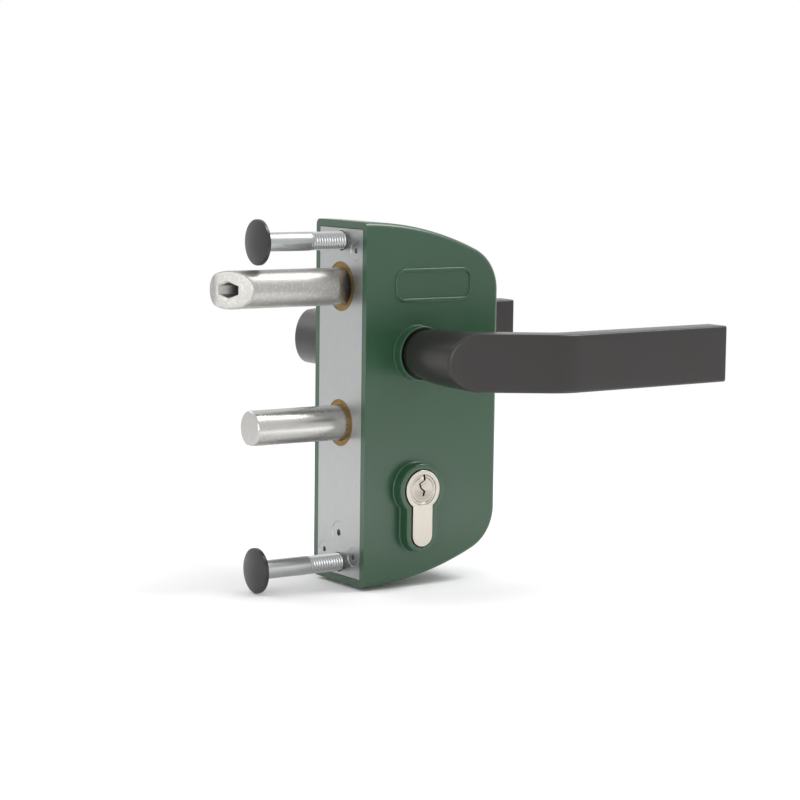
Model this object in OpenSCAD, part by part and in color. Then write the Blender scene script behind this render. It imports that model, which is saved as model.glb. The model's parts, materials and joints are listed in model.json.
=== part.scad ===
// Gate lock box: a shallow crowned case with a bevelled latch, a round dead bolt, a lever handle on
// each broad face and a profile cylinder that is keyed from both sides.
// X runs from the mounting face into the case, -Y is the front, +Z is up. Sizes are in millimetres.

/* [Case] */
// Depth of the case behind its mounting face
case_w = 68.2; // [66:0.2:78]
// Height of the case
case_h = 155; // [152:1:170]
// Thickness between the broad faces
case_t = 40; // [38:1:50]
// Wall of the casting
wall = 3; // [2.5:0.1:3.5]
// Radius of the crowned top and bottom edges
crown_r = 137; // [115:1:150]
// Radius of the two far corners
corner_r = 19.5; // [15:0.5:22]
// Rounding of the edges round the broad faces
edge_r = 2.5; // [1.5:0.1:3.5]

/* [Axes] */
// Distance of the handle and key axes behind the mounting face
backset = 26; // [25:0.5:30]
// Height of the handle axis above the middle of the case
handle_z = 21.8; // [20:0.2:23]
// Height of the key axis
key_z = -36.2; // [-38:0.2:-35]
// Height of the latch axis
latch_z = 49.6; // [48:0.2:50]
// Height of the dead bolt axis
dead_z = -8.7; // [-10.2:0.1:-7.6]
// Distance of each fixing bolt from its end of the case
fixing_in = 8.5; // [8:0.1:9]

/* [Collars and name frame] */
// Outer radius of the collar round each handle neck
collar_r = 11.8; // [11.6:0.1:14]
// Rim of that collar
collar_rim = 0.9; // [0.8:0.1:1.4]
// Height of that collar above the broad face
collar_h = 4.8; // [3:0.2:7]
// Rim of the keyhole-shaped collar round the cylinder
key_rim = 2.3; // [1.5:0.1:3]
// How far the cylinder stands out of that keyhole-shaped collar
key_proud = 0.5; // [0.3:0.1:2]
// Air gap between cylinder and collar
key_gap = 0.35; // [0.2:0.05:0.5]
// Length of the bare oblong frame
frame_l = 38.9; // [30:0.1:42]
// Height of the oblong frame
frame_h = 13.8; // [10:0.1:15]
// Corner radius of the oblong frame
frame_r = 5; // [3:0.1:5]
// Width of its raised rim
frame_rim = 0.9; // [0.6:0.1:1.5]
// Height of its raised rim
frame_rise = 0.6; // [0.3:0.1:1]
// Distance of the frame's centre behind the mounting face
frame_x = 34.2; // [30:0.2:36]
// Height of the frame's centre
frame_z = 50.6; // [46:0.2:52]

/* [Mounting] */
// Thickness of the mounting plate
plate_t = 4; // [3:0.2:5]
// Length clamped between the caps and the mounting face
grip = 40; // [30:1:60]
// Radius of the fixing bolts
fixing_r = 4; // [3:0.1:4]
// Radius of the thin head of a fixing bolt
fixing_head_r = 8.2; // [7:0.1:9]
// Thickness of that head
fixing_head_t = 1; // [0.8:0.1:1.2]
// Radius of the domed caps
cap_r = 9.6; // [9.4:0.1:11]
// Height of the caps
cap_h = 2.8; // [2.7:0.1:4]
// Height of the caps at their edge
cap_edge = 1.6; // [1.5:0.1:1.8]
// Length of the cast bosses that take the fixing bolts
boss_l = 22; // [18:1:26]
// Radius of the mounting plate screws
screw_r = 2; // [1.5:0.1:2.2]
// Distance of those screws to each side of the middle
screw_y = 11.5; // [10:0.5:12]

/* [Latch] */
// Radius of the latch bolt
latch_r = 8; // [7.4:0.1:8.2]
// Reach of the latch beyond the mounting face
latch_reach = 59.4; // [50:0.2:85]
// Depth at which the bevel crosses the latch axis, back from the tip
bevel_back = 4.5; // [4:0.1:7]
// Travel of the latch when its bevel is pushed in
latch_push = 18; // [12:0.5:18]
// Thickness of the web that the yoke straddles
latch_web = 8; // [6:0.2:9]
// Hexagon socket of the latch, across flats
hex_af = 5.8; // [4:0.1:6]
// Depth of the hexagon socket behind the tip
hex_depth = 17; // [14:1:24]
// Outer radius of the latch guide
latch_guide_r = 10.5; // [10:0.1:11]

/* [Dead bolt] */
// Radius of the dead bolt
dead_r = 7.7; // [7.2:0.1:7.8]
// Reach of the withdrawn dead bolt beyond the mounting face
dead_reach = 44.6; // [30:0.2:70]
// Distance from the dead bolt axis down to its flat
dead_flat = 6.9; // [6:0.1:7.1]
// Chamfer round the end of the dead bolt
dead_edge = 0.6; // [0.4:0.1:1]
// Outer radius of the dead bolt guide
dead_guide_r = 10; // [9.5:0.1:10.5]
// Thickness of the tail bar on the flat
tail_t = 3.5; // [2.5:0.1:4]
// Thickness of the two tail fingers
tail_w = 5; // [4:0.2:7]
// Length of each tail finger along the bolt
finger_l = 5; // [4:0.2:6]

/* [Handles] */
// Length of a lever from its axis to its end
lever_l = 118; // [95:0.5:130]
// Height of a lever
lever_h = 24.2; // [22:0.2:26]
// Thickness of a lever
lever_t = 12; // [9:0.2:13]
// Radius of the neck at its collar
neck_r = 9.8; // [9.6:0.1:10.6]
// Stand-off of the lever face at the outer edge of the neck
root_out = 61; // [56:0.5:66]
// Stand-off of the lever face at its bend
bend_out = 87; // [80:0.5:92]
// Distance of the bend from the handle axis
bend_l = 29; // [26:0.5:36]
// Stand-off of the lever face at its end
end_out = 83; // [78:0.5:88]
// Radius of the bend on the lever's middle line
bend_r = 15; // [10:0.5:20]
// Rounding of the long edges
lever_edge = 1.6; // [0.8:0.1:2]
// Rounding of the two corners at the end
lever_tip = 0.8; // [0.4:0.1:2]
// Turn of the handles
handle_turn = 40; // [30:1:42]
// Width of the square spindle
spindle_w = 8; // [7:0.1:9]
// Radius of the handle journals
journal_r = 8; // [7.6:0.1:8.4]
// Radius of the follower hub
hub_r = 9.5; // [8.5:0.1:10]
// Radius of the yoke pins
pin_r = 3; // [2.4:0.1:3.2]

/* [Cylinder] */
// Length of the profile cylinder
cyl_l = 52; // [50:1:64]
// Radius of the round part of the profile
cyl_r = 8.5; // [8.5:0.1:8.8]
// Width of the stem of the profile
stem_w = 10; // [9:0.1:10.2]
// Whole height of the profile
cyl_h = 33; // [32:0.1:34]
// Radius of the plugs
plug_r = 6.5; // [6:0.1:7]
// Reach of the cam from the key axis
cam_r = 15; // [14.5:0.1:15.4]
// Radius of the cam ring
cam_ring_r = 7.6; // [7.2:0.1:7.8]
// Width of the round head on the cam finger
cam_head = 7; // [6:0.2:7.4]
// Working arc of the key
key_arc = 88; // [76:1:88]
// Radius of the cylinder fixing screw
cyl_screw_r = 2.5; // [2:0.1:2.6]

/* [Fits] */
// Radial running clearance of shafts and slides
run = 0.05; // [0.03:0.01:0.08]
// Room left between moving pieces
room = 0.3; // [0.25:0.05:0.4]
// Side play of the pins in the follower arms and of the cam in its notch
play = 0.5; // [0.45:0.05:0.6]

/* [Hidden] */
$fn = 48;

over = 1;
slip = 0.1;
snug = 0.15;
guide_recess = 0.2;
corner_cross = 0.03;
collar_foot = 0.6;
face_y = case_t / 2;
inner_y = face_y - wall;
rim_y = face_y + collar_h;
key_rim_y = cyl_l / 2 - key_proud;
fixing_z = case_h / 2 - fixing_in;
crown_z = case_h / 2 - crown_r;
corner_x = case_w - corner_r;
corner_z = crown_z + sqrt(pow(crown_r - corner_r, 2) - pow(corner_x, 2));
corner_lean = asin(corner_x / (crown_r - corner_r));

plate_gap = 0.25;
boss_wall = 3.4;
boss_edge = fixing_z - fixing_r - boss_wall;
screw_wall = 1.6;
screw_z = boss_edge + screw_r + screw_wall;
screw_l = 14;
screw_spare = 2;
socket_deep = 0.8;
socket_af = 1.1;
thread_r = fixing_r - run;
cap_pin = 2;

arm_l = latch_z - handle_z;
arm_tilt = handle_turn / 2;
arm_plate_t = 3;
arm_gap = 1;
arm_wall = 2.5;
arm_short = 0.6;
arm_in = latch_r + arm_gap;
arm_out = arm_in + arm_plate_t;
arm_slot = pin_r + play;
arm_half = arm_slot + arm_wall;
arm_tip = arm_l / cos(arm_tilt) + pin_r - arm_short;
yoke_x = backset - arm_l * tan(arm_tilt);
yoke_half = pin_r;
cheek_in = latch_web / 2 + snug;
cheek_h = pin_r + arm_wall;
yoke_bar = 3;

flange_t = 2;
flange_r = 0.9;
guide_gap = 1.2;
shoulder_l = 3.5;
shoulder_step = 1.4;
stub_l = 1;
pad_t = 2.55;
latch_guide_l = backset - arm_tip * sin(arm_tilt) - arm_half * cos(arm_tilt) - guide_gap;
latch_shoulder = yoke_x + yoke_half + snug;
latch_end = latch_shoulder + shoulder_l;
latch_end_r = latch_r - shoulder_step;
flat_start = yoke_x - yoke_half - latch_push - play;
latch_pad_r = 7;
latch_pad_x = case_w - wall - pad_t;
latch_wire = 0.7;
latch_coil_r = 4.6;
latch_coils = 9;

head_at = cam_r - cam_head / 2;
throw = 2 * head_at * sin(key_arc / 2);
notch_x = backset + throw / 2;
notch_half = cam_head / 2 + play;
tail_top = dead_z - dead_flat;
tail_in = 1.5;
tail_on = 8;
tail_screw_r = 1.5;
tail_head_r = 2.8;
tail_head_t = 1.4;
tail_bite = 4;
finger_z = key_z + cam_ring_r + room;
tail_left = notch_x - notch_half - finger_l;
tail_right = notch_x + notch_half + finger_l;
tail_end = tail_right + tail_on;
dead_end = tail_end + over;
dead_guide_l = tail_left - throw - 2 * room;
rib_x = backset - 4;
rib_half = 2;

bush_deep = 3;
neck_sunk = 1.6;
spindle_in = 22;
bush_r = collar_r - collar_rim;
bush_in = inner_y - bush_deep;
neck_y = rim_y - neck_sunk;
bush_out = neck_y - slip;
hub_y = bush_in - 2 * slip;
spindle_y = neck_y + spindle_in;
grub_y = neck_y + spindle_in / 2;
grub_r = 3;
grub_sunk = 0.8;
grub_socket = 3;
twist_wire = 1;
twist_coils = 6;

slope = atan2(bend_out - root_out, bend_l + lever_h / 2);
grip_slope = atan2(end_out - bend_out, lever_l - bend_l);
half_t = lever_t / 2;
root_x = -lever_h / 2 + half_t * sin(slope);
root_y = root_out - half_t * cos(slope);
far_x = lever_l + half_t * sin(grip_slope);
far_y = end_out - half_t * cos(grip_slope);
knee_x = (far_y - root_y + root_x * tan(slope) - far_x * tan(grip_slope)) / (tan(slope) - tan(grip_slope));
bend_cut = bend_r * tan((slope - grip_slope) / 2);
bend_len = bend_r * (slope - grip_slope) * PI / 180;
bend_steps = 8;
root_s = -root_x / cos(slope);
bend_s = (knee_x - root_x) / cos(slope) - bend_cut;
lever_s = bend_s + bend_len + (far_x - knee_x) / cos(grip_slope) - bend_cut;
root_back = root_y - (lever_h / 2 + root_x) * tan(slope) - half_t / cos(slope);
neck_step = 1;
neck_top_r = lever_h / 2 - neck_step;

slot_y = 5;
cam_y = 3.7;
cam_finger = 4.4;
clip_t = 0.8;
clip_gap = 3;
bridge_z = key_z - cam_r - 2 * room;
stem_z = key_z + cyl_r - cyl_h;
cyl_screw_z = (bridge_z + stem_z) / 2;
keyway_half = 0.45;

// Section from the middle of the case to a rim at distance r, whose edges are rounded, or sharp at 0
module rim_section(r, t, edge) {
    translate([0, -t / 2 + edge]) square([r, t - 2 * edge]);
    if (edge > 0) {
        translate([0, -t / 2]) square([r - edge, t]);
        for (side = [-1, 1]) translate([r - edge, side * (t / 2 - edge)]) circle(r = edge);
    }
}

// Round plate about Y through x, z, with rounded edges
module puck(x, z, r, t, edge) {
    translate([x, 0, z]) rotate([90, 0, 0]) rotate_extrude() rim_section(r, t, edge);
}

module slab(t) {
    rotate([90, 0, 0]) linear_extrude(t, center = true) children();
}

module rod_x(x0, x1, r) {
    translate([x0, 0, 0]) rotate([0, 90, 0]) cylinder(r = r, h = x1 - x0);
}

module rod_y(y0, y1, r) {
    translate([0, y0, 0]) rotate([-90, 0, 0]) cylinder(r = r, h = y1 - y0);
}

module both_faces() {
    children();
    mirror([0, 1, 0]) children();
}

module both_ends() {
    children();
    mirror([0, 0, 1]) children();
}

module at_handle() { translate([backset, 0, handle_z]) children(); }
module at_key() { translate([backset, 0, key_z]) children(); }
module at_latch() { translate([0, 0, latch_z]) children(); }
module at_dead() { translate([0, 0, dead_z]) children(); }

// Profile of the cylinder in X and Z, widened by grow
module key_profile(grow) {
    translate([backset, key_z]) circle(r = cyl_r + grow);
    translate([backset - stem_w / 2 - grow, stem_z + stem_w / 2])
        square([stem_w + 2 * grow, cyl_h - cyl_r - stem_w / 2]);
    translate([backset, stem_z + stem_w / 2]) circle(r = stem_w / 2 + grow);
}

module oblong(l, h, r) {
    square([l - 2 * r, h], center = true);
    square([l, h - 2 * r], center = true);
    for (x = [-1, 1], z = [-1, 1]) translate([x * (l / 2 - r), z * (h / 2 - r)]) circle(r = r);
}

// Case

// What lies between the chord of one corner and its sides, less the round corner itself,
// whose arc crosses the sides at a shallow angle
module corner_waste(inset, t, edge) {
    r = corner_r - inset;
    difference() {
        translate([corner_x, 0, corner_z]) rotate([0, 45 + corner_lean / 2, 0])
            translate([-case_w, -case_t, r * cos(45 - corner_lean / 2)])
                cube([2 * case_w, 2 * case_t, case_h]);
        puck(corner_x, corner_z, r + corner_cross, t, edge);
    }
}

// Plate of thickness t inside the crowned outline, drawn in by inset
module crowned_plate(inset, t, edge) {
    difference() {
        intersection() {
            puck(0, crown_z, crown_r - inset, t, edge);
            puck(0, -crown_z, crown_r - inset, t, edge);
            translate([0, 0, -case_h]) linear_extrude(2 * case_h) rim_section(case_w - inset, t, edge);
        }
        both_ends() corner_waste(inset, t, edge);
    }
}

module case_cavity() {
    difference() {
        crowned_plate(wall, 2 * inner_y, 0);
        both_ends() translate([plate_t, -case_t, boss_edge]) cube([boss_l, 2 * case_t, case_h]);
        both_faces() translate([rib_x, dead_r + room, dead_z - rib_half])
            cube([case_w, case_t, 2 * rib_half]);
        at_latch() rod_x(latch_pad_x, case_w, latch_pad_r);
    }
}

module handle_collar() {
    at_handle() rod_y(face_y - wall / 2, rim_y, collar_r);
    at_handle() translate([0, face_y, 0]) rotate([-90, 0, 0])
        cylinder(r1 = collar_r + collar_foot, r2 = collar_r, h = collar_foot);
}

module key_collar() {
    translate([0, (face_y - wall / 2 + key_rim_y) / 2, 0])
        slab(key_rim_y - face_y + wall / 2) key_profile(key_gap + key_rim);
}

module name_frame() {
    translate([frame_x, -face_y - frame_rise / 2, frame_z]) slab(frame_rise + 2 * slip) difference() {
        oblong(frame_l, frame_h, frame_r);
        oblong(frame_l - 2 * frame_rim, frame_h - 2 * frame_rim, frame_r - frame_rim);
    }
}

module housing() {
    color("#3f5f4c") difference() {
        union() {
            crowned_plate(0, case_t, edge_r);
            both_faces() handle_collar();
            both_faces() key_collar();
            name_frame();
        }
        case_cavity();
        at_handle() rod_y(-rim_y - over, rim_y + over, bush_r);
        slab(2 * key_rim_y + 2 * over) key_profile(key_gap);
        both_ends() translate([0, 0, fixing_z]) rod_x(0, plate_t + boss_l + over, thread_r + run);
        both_ends() both_faces() translate([0, screw_y, screw_z]) rod_x(0, plate_t + screw_l, screw_r + run);
    }
}

// Mounting plate and fixings

module mounting_plate() {
    half_y = inner_y - snug;
    half_z = case_h / 2 - wall - plate_gap;
    color("#8e9194") difference() {
        translate([0, -half_y, -half_z]) cube([plate_t, 2 * half_y, 2 * half_z]);
        at_latch() rod_x(-over, plate_t + over, latch_guide_r + run);
        at_dead() rod_x(-over, plate_t + over, dead_guide_r + run);
        both_ends() translate([0, 0, fixing_z]) rod_x(-over, plate_t + over, fixing_r + room);
        both_ends() both_faces() translate([0, screw_y, screw_z]) screw_seat(screw_r);
        translate([0, 0, cyl_screw_z]) screw_seat(cyl_screw_r);
    }
}

// Countersunk hole through the mounting plate for a screw of radius r
module screw_seat(r) {
    rod_x(-over, plate_t + over, r + 2 * run);
    translate([-run, 0, 0]) rotate([0, 90, 0]) cylinder(r1 = 2 * r + 2 * run, r2 = r + 2 * run, h = r + run);
}

// Countersunk screw of radius r that lies flush in the mounting plate and is l long
module flush_screw(r, l) {
    difference() {
        union() {
            translate([slip, 0, 0]) rotate([0, 90, 0]) cylinder(r1 = 2 * r - slip, r2 = r, h = r - slip);
            rod_x(r - 2 * slip, l, r);
        }
        rod_hex(-over, r * socket_deep, r * socket_af);
    }
}

// Hexagon socket along X with its points up and down
module rod_hex(x0, x1, af) {
    translate([x0, 0, 0]) rotate([0, 90, 0]) cylinder(r = af / 2 / cos(30), h = x1 - x0, $fn = 6);
}

module plate_screws() {
    color("#a7a9aa") both_ends() both_faces() translate([0, screw_y, screw_z])
        flush_screw(screw_r, plate_t + screw_l - screw_spare);
}

module fixing_bolt() {
    difference() {
        union() {
            rod_x(-grip - fixing_head_t, -grip, fixing_head_r);
            rod_x(-grip - fixing_head_t / 2, 0, fixing_r);
            rod_x(-over, plate_t + boss_l - screw_spare, thread_r);
        }
        rod_hex(-grip - fixing_head_t - over, -grip + fixing_r, fixing_r);
    }
}

module fixing_bolts() {
    color("#b4b6b8") both_ends() translate([0, 0, fixing_z]) fixing_bolt();
}

// Domed cap that clips over the thin bolt head and plugs its socket
module fixing_cap() {
    rise = cap_h - cap_edge;
    dome_r = (pow(cap_r, 2) + pow(rise, 2)) / (2 * rise);
    difference() {
        translate([-grip, 0, 0]) rotate([0, -90, 0]) rotate_extrude() intersection() {
            square([cap_r, cap_h]);
            translate([0, cap_h - dome_r]) circle(r = dome_r, $fn = 360);
        }
        rod_x(-grip - fixing_head_t, -grip + over, fixing_head_r + slip);
    }
    rod_x(-grip - fixing_head_t - 2 * slip, -grip + cap_pin, fixing_r / 2 - slip);
}

module fixing_caps() {
    color("#3c3b3d") both_ends() translate([0, 0, fixing_z]) fixing_cap();
}

// Latch

module latch_guide() {
    color("#b9a15c") at_latch() difference() {
        union() {
            rod_x(guide_recess, latch_guide_l, latch_guide_r);
            rod_x(plate_t, plate_t + flange_t, latch_guide_r + flange_r);
        }
        rod_x(-over, latch_guide_l + over, latch_r + run);
    }
}

module latch_bolt() {
    tip = -latch_reach;
    color("#c4c3c1") at_latch() difference() {
        union() {
            rod_x(tip, latch_shoulder, latch_r);
            rod_x(latch_shoulder - over, latch_end, latch_end_r);
            rod_x(latch_end - over, latch_end + stub_l, latch_coil_r - latch_wire - 2 * slip);
        }
        translate([tip + bevel_back, 0, 0]) rotate([0, 0, 45])
            translate([-4 * latch_r, -4 * latch_r, -2 * latch_r])
                cube([4 * latch_r, 8 * latch_r, 4 * latch_r]);
        rod_hex(tip - over, tip + hex_depth, hex_af);
        both_faces() translate([flat_start, latch_web / 2, -2 * latch_r])
            cube([latch_shoulder - flat_start, 2 * latch_r, 4 * latch_r]);
    }
}

module latch_yoke() {
    bar_z = -latch_r - room - yoke_bar;
    color("#a9aaab") at_latch() translate([yoke_x, 0, 0]) {
        both_faces() translate([-yoke_half, cheek_in, bar_z])
            cube([2 * yoke_half, latch_r - cheek_in, cheek_h - bar_z]);
        translate([-yoke_half, -latch_r, bar_z]) cube([2 * yoke_half, 2 * latch_r, yoke_bar]);
        both_faces() rod_y(latch_r - over, arm_out + play, pin_r - run);
    }
}

// Round wire of radius wire wound as a coil of radius r, from z = 0 to z = l
module coil(r, wire, l, turns) {
    rings = turns * 16;
    sides = 6;
    rise = (l - 2 * wire) / 360 / turns;
    tilt = atan2(rise * 180 / PI, r);
    points = [for (i = [0:rings], k = [0:sides - 1])
        let (a = 360 * turns * i / rings, b = 360 * k / sides, q = r + wire * cos(b), s = wire * sin(b))
        [
            q * cos(a) + s * sin(tilt) * sin(a),
            q * sin(a) - s * sin(tilt) * cos(a),
            wire + rise * a + s * cos(tilt)
        ]];
    walls = [for (i = [0:rings - 1], k = [0:sides - 1])
        let (m = (k + 1) % sides, p = i * sides, n = p + sides)
        each [[p + k, p + m, n + m], [p + k, n + m, n + k]]];
    first = [for (k = [1:sides - 2]) [0, k + 1, k]];
    end = rings * sides;
    last = [for (k = [1:sides - 2]) [end, end + k, end + k + 1]];
    polyhedron(points, concat(walls, first, last), convexity = 8);
}

module latch_spring() {
    start = latch_end + slip;
    color("#9fa3a6") at_latch() translate([start, 0, 0]) rotate([0, 90, 0])
        coil(latch_coil_r, latch_wire, latch_pad_x - slip - start, latch_coils);
}

// Dead bolt

module dead_bolt_guide() {
    color("#b9a15c") at_dead() difference() {
        union() {
            rod_x(guide_recess, dead_guide_l, dead_guide_r);
            rod_x(plate_t, plate_t + flange_t, dead_guide_r + flange_r);
        }
        rod_x(-over, dead_guide_l + over, dead_r + run);
    }
}

module dead_bolt() {
    color("#c9c8c6") difference() {
        at_dead() union() {
            rod_x(-dead_reach + dead_edge, dead_end, dead_r);
            translate([-dead_reach, 0, 0]) rotate([0, 90, 0])
                cylinder(r1 = dead_r - dead_edge, r2 = dead_r, h = dead_edge);
        }
        at_dead() translate([-2 * dead_reach, -2 * dead_r, -3 * dead_r])
            cube([4 * dead_reach, 4 * dead_r, 3 * dead_r - dead_flat]);
        tail_screw_places() cylinder(r = tail_screw_r + run, h = tail_t + tail_bite + over);
    }
}

module dead_bolt_tail() {
    color("#a9aaab") difference() {
        union() {
            translate([tail_left, -dead_r + tail_in, tail_top - tail_t])
                cube([tail_end - tail_left, 2 * (dead_r - tail_in), tail_t]);
            for (x = [tail_left, notch_x + notch_half]) translate([x, -tail_w / 2, finger_z])
                cube([finger_l, tail_w, tail_top - tail_t / 2 - finger_z]);
        }
        tail_screw_places() cylinder(r = tail_screw_r + 2 * run, h = tail_t + over);
        tail_screw_places() translate([0, 0, -over])
            cylinder(r = tail_head_r + 2 * slip, h = tail_head_t + slip + over);
    }
}

// Undersides of the two tail screws, one between the fingers and one behind them
module tail_screw_places() {
    for (x = [notch_x, (tail_right + tail_end) / 2]) translate([x, 0, tail_top - tail_t]) children();
}

module tail_screws() {
    color("#8d8f91") tail_screw_places() {
        cylinder(r = tail_head_r, h = tail_head_t);
        cylinder(r = tail_screw_r, h = tail_t + tail_bite);
    }
}

// Handles and follower

module handle_bush() {
    at_handle() difference() {
        rod_y(bush_in, bush_out, bush_r - run / 2);
        rod_y(bush_in - over, bush_out + over, journal_r + run);
    }
}

module front_bush() { color("#2a2a2c") mirror([0, 1, 0]) handle_bush(); }
module rear_bush() { color("#2a2a2c") handle_bush(); }

module square_hole(y0, y1) {
    w = spindle_w + 2 * run;
    translate([-w / 2, y0, -w / 2]) cube([w, y1 - y0, w]);
}

// Forked arm of the follower in X and Z, pointing up from the hub
module follower_arm() {
    difference() {
        translate([-arm_half, 0]) square([2 * arm_half, arm_tip]);
        translate([-arm_slot, arm_l - pin_r - arm_gap]) square([2 * arm_slot, arm_tip]);
    }
}

module follower() {
    color("#9a9c9e") at_handle() rotate([0, -arm_tilt, 0]) difference() {
        union() {
            rod_y(-hub_y, hub_y, hub_r);
            both_faces() translate([0, (arm_in + arm_out) / 2, 0]) slab(arm_plate_t) follower_arm();
        }
        rotate([0, arm_tilt, 0]) square_hole(-hub_y - over, hub_y + over);
    }
}

module follower_spring() {
    reach = arm_in - room;
    color("#9fa3a6") at_handle() translate([0, -reach, 0]) rotate([-90, 0, 0])
        coil(hub_r + room + twist_wire, twist_wire, 2 * reach, twist_coils);
}

module spindle() {
    color("#8f9193") at_handle()
        translate([-spindle_w / 2, -spindle_y, -spindle_w / 2]) cube([spindle_w, 2 * spindle_y, spindle_w]);
}

// Lower half of a lever's flat outline, drawn in by inset: distance along the middle line and height.
// The root is half an ellipse that looks round from the side of the neck.
function lever_half(inset) =
    let (h = lever_h / 2 - inset, end = lever_s - inset - lever_tip)
    concat(
        [for (a = [180:7.5:270]) [root_s + h / cos(slope) * cos(a), h * sin(a)]],
        [for (i = [0:bend_steps]) [bend_s + bend_len * i / bend_steps, -h]],
        [for (a = [-90:30:0]) [end + lever_tip * cos(a), lever_tip - h + lever_tip * sin(a)]]
    );

// Point s along the bent middle line, z up and n outwards; the wall of the root leans to run straight back
function lever_place(s, z, n) =
    let (
        lean = min(max(1 - (s - root_s) / lever_t, 0), 1),
        at = s + n * tan(slope) * lean,
        a = slope - min(max((at - bend_s) / bend_len, 0), 1) * (slope - grip_slope),
        first = min(at, bend_s),
        last = max(at - bend_s - bend_len, 0)
    )
    [
        root_x + first * cos(slope) + last * cos(grip_slope) + bend_r * (sin(slope) - sin(a)) - n * sin(a),
        root_y + first * sin(slope) + last * sin(grip_slope) + bend_r * (cos(a) - cos(slope)) + n * cos(a),
        z
    ];

// Loft of the outline over both rounded edges, closed by strips across the outer and inner faces
module lever_bar() {
    edge = [for (a = [0:30:90]) [lever_edge * (1 - sin(a)), half_t - lever_edge * (1 - cos(a))]];
    rows = concat(edge, [for (i = [len(edge) - 1:-1:0]) [edge[i][0], -edge[i][1]]]);
    half = len(lever_half(0));
    ring = 2 * half - 1;
    points = [for (r = rows) let (low = lever_half(r[0])) each concat(
        [for (q = low) lever_place(q[0], q[1], r[1])],
        [for (i = [half - 1:-1:1]) lever_place(low[i][0], -low[i][1], r[1])])];
    walls = [for (i = [0:len(rows) - 2], k = [0:ring - 1])
        let (m = (k + 1) % ring, p = i * ring, n = p + ring)
        each [[p + k, n + k, n + m], [p + k, n + m, p + m]]];
    last = (len(rows) - 1) * ring;
    strips = [for (j = [1:half - 2]) [j, j + 1, ring - j - 1, ring - j]];
    outer = concat([[0, 1, ring - 1]], [for (f = strips) each [[f[0], f[1], f[2]], [f[0], f[2], f[3]]]]);
    inner = [for (f = outer) [last + f[2], last + f[1], last + f[0]]];
    polyhedron(points, concat(walls, outer, inner), convexity = 4);
}

// Lever standing out along +Y from the handle axis
module handle() {
    at_handle() difference() {
        union() {
            translate([0, neck_y, 0]) rotate([-90, 0, 0])
                cylinder(r1 = neck_r, r2 = neck_top_r, h = root_back - neck_y);
            intersection() {
                rod_y(root_back - slip, bend_out, neck_top_r);
                lever_room();
            }
            lever_bar();
            rod_y(bush_in + 2 * slip, neck_y + over, journal_r);
        }
        square_hole(0, spindle_y + play);
        translate([0, grub_y, -lever_h]) cylinder(r = grub_r + run, h = lever_h);
    }
}

// Space behind the plane through the middle of the lever's sloping part
module lever_room() {
    translate([-lever_h / 2, root_out - half_t, 0]) rotate([0, 0, slope])
        translate([-2 * lever_h, -4 * root_out, -lever_h]) cube([6 * lever_h, 4 * root_out, 2 * lever_h]);
}

module front_handle() { color("#454243") mirror([0, 1, 0]) handle(); }
module rear_handle() { color("#454243") handle(); }

module handle_screws() {
    low = neck_r - grub_sunk;
    color("#7d7f81") at_handle() both_faces() translate([0, grub_y, 0]) difference() {
        translate([0, 0, -low]) cylinder(r = grub_r, h = low - spindle_w / 2 - run);
        translate([0, 0, -low - over]) cylinder(r = grub_r / 2 / cos(30), h = grub_socket + over, $fn = 6);
    }
}

// Cylinder

module cylinder_body() {
    color("#d8d3cc") difference() {
        slab(cyl_l) key_profile(0);
        at_key() rod_y(-cyl_l, cyl_l, plug_r + run);
        translate([0, -slot_y, bridge_z]) cube([2 * case_w, 2 * slot_y, case_h]);
        translate([0, 0, cyl_screw_z]) rod_x(0, 2 * backset, cyl_screw_r + run);
    }
}

// Zig-zag keyway in X and Z about the key axis, open at the top of the plug
module keyway() {
    line = [[0.2, plug_r + over], [0.9, 4.1], [-1.4, 2.6], [-0.5, 0.8], [1.3, -0.8], [0.5, -2.8]];
    turns = len(line) - 1;
    polygon(concat(
        [for (p = line) p - [keyway_half, 0]],
        [for (i = [turns:-1:0]) line[i] + [keyway_half, 0]]));
}

module plug() {
    at_key() difference() {
        rod_y(cam_y + run, cyl_l / 2 - 2 * slip, plug_r);
        difference() {
            rod_y(slot_y - clip_t - slip, slot_y, plug_r + over);
            rod_y(0, cyl_l, plug_r - clip_t);
        }
        translate([0, (slot_y + over + cyl_l) / 2, 0]) slab(cyl_l - slot_y - over) keyway();
    }
}

module front_plug() { color("#cfc9c0") mirror([0, 1, 0]) plug(); }
module rear_plug() { color("#cfc9c0") plug(); }

module plug_clips() {
    color("#8d8f91") at_key() both_faces() difference() {
        rod_y(slot_y - clip_t - slip / 2, slot_y - slip / 2, cam_ring_r);
        rod_y(0, slot_y, plug_r - clip_t + run);
        translate([-clip_gap / 2, 0, 0]) cube([clip_gap, slot_y, cyl_h]);
    }
}

module cylinder_cam() {
    color("#b3b1ac") at_key() rotate([0, key_arc / 2, 0]) {
        rod_y(-cam_y, cam_y, cam_ring_r);
        translate([-cam_finger / 2, -cam_y, 0]) cube([cam_finger, 2 * cam_y, head_at]);
        translate([0, 0, head_at]) rod_y(-cam_y, cam_y, cam_head / 2);
    }
}

module cylinder_screw() {
    color("#a7a9aa") translate([0, 0, cyl_screw_z])
        flush_screw(cyl_screw_r, backset + stem_w / 2 + screw_spare);
}

housing();
mounting_plate();
plate_screws();
fixing_bolts();
fixing_caps();
latch_guide();
latch_bolt();
latch_yoke();
latch_spring();
dead_bolt_guide();
dead_bolt();
dead_bolt_tail();
tail_screws();
front_bush();
rear_bush();
follower();
follower_spring();
spindle();
front_handle();
rear_handle();
handle_screws();
cylinder_body();
front_plug();
rear_plug();
plug_clips();
cylinder_cam();
cylinder_screw();
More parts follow.
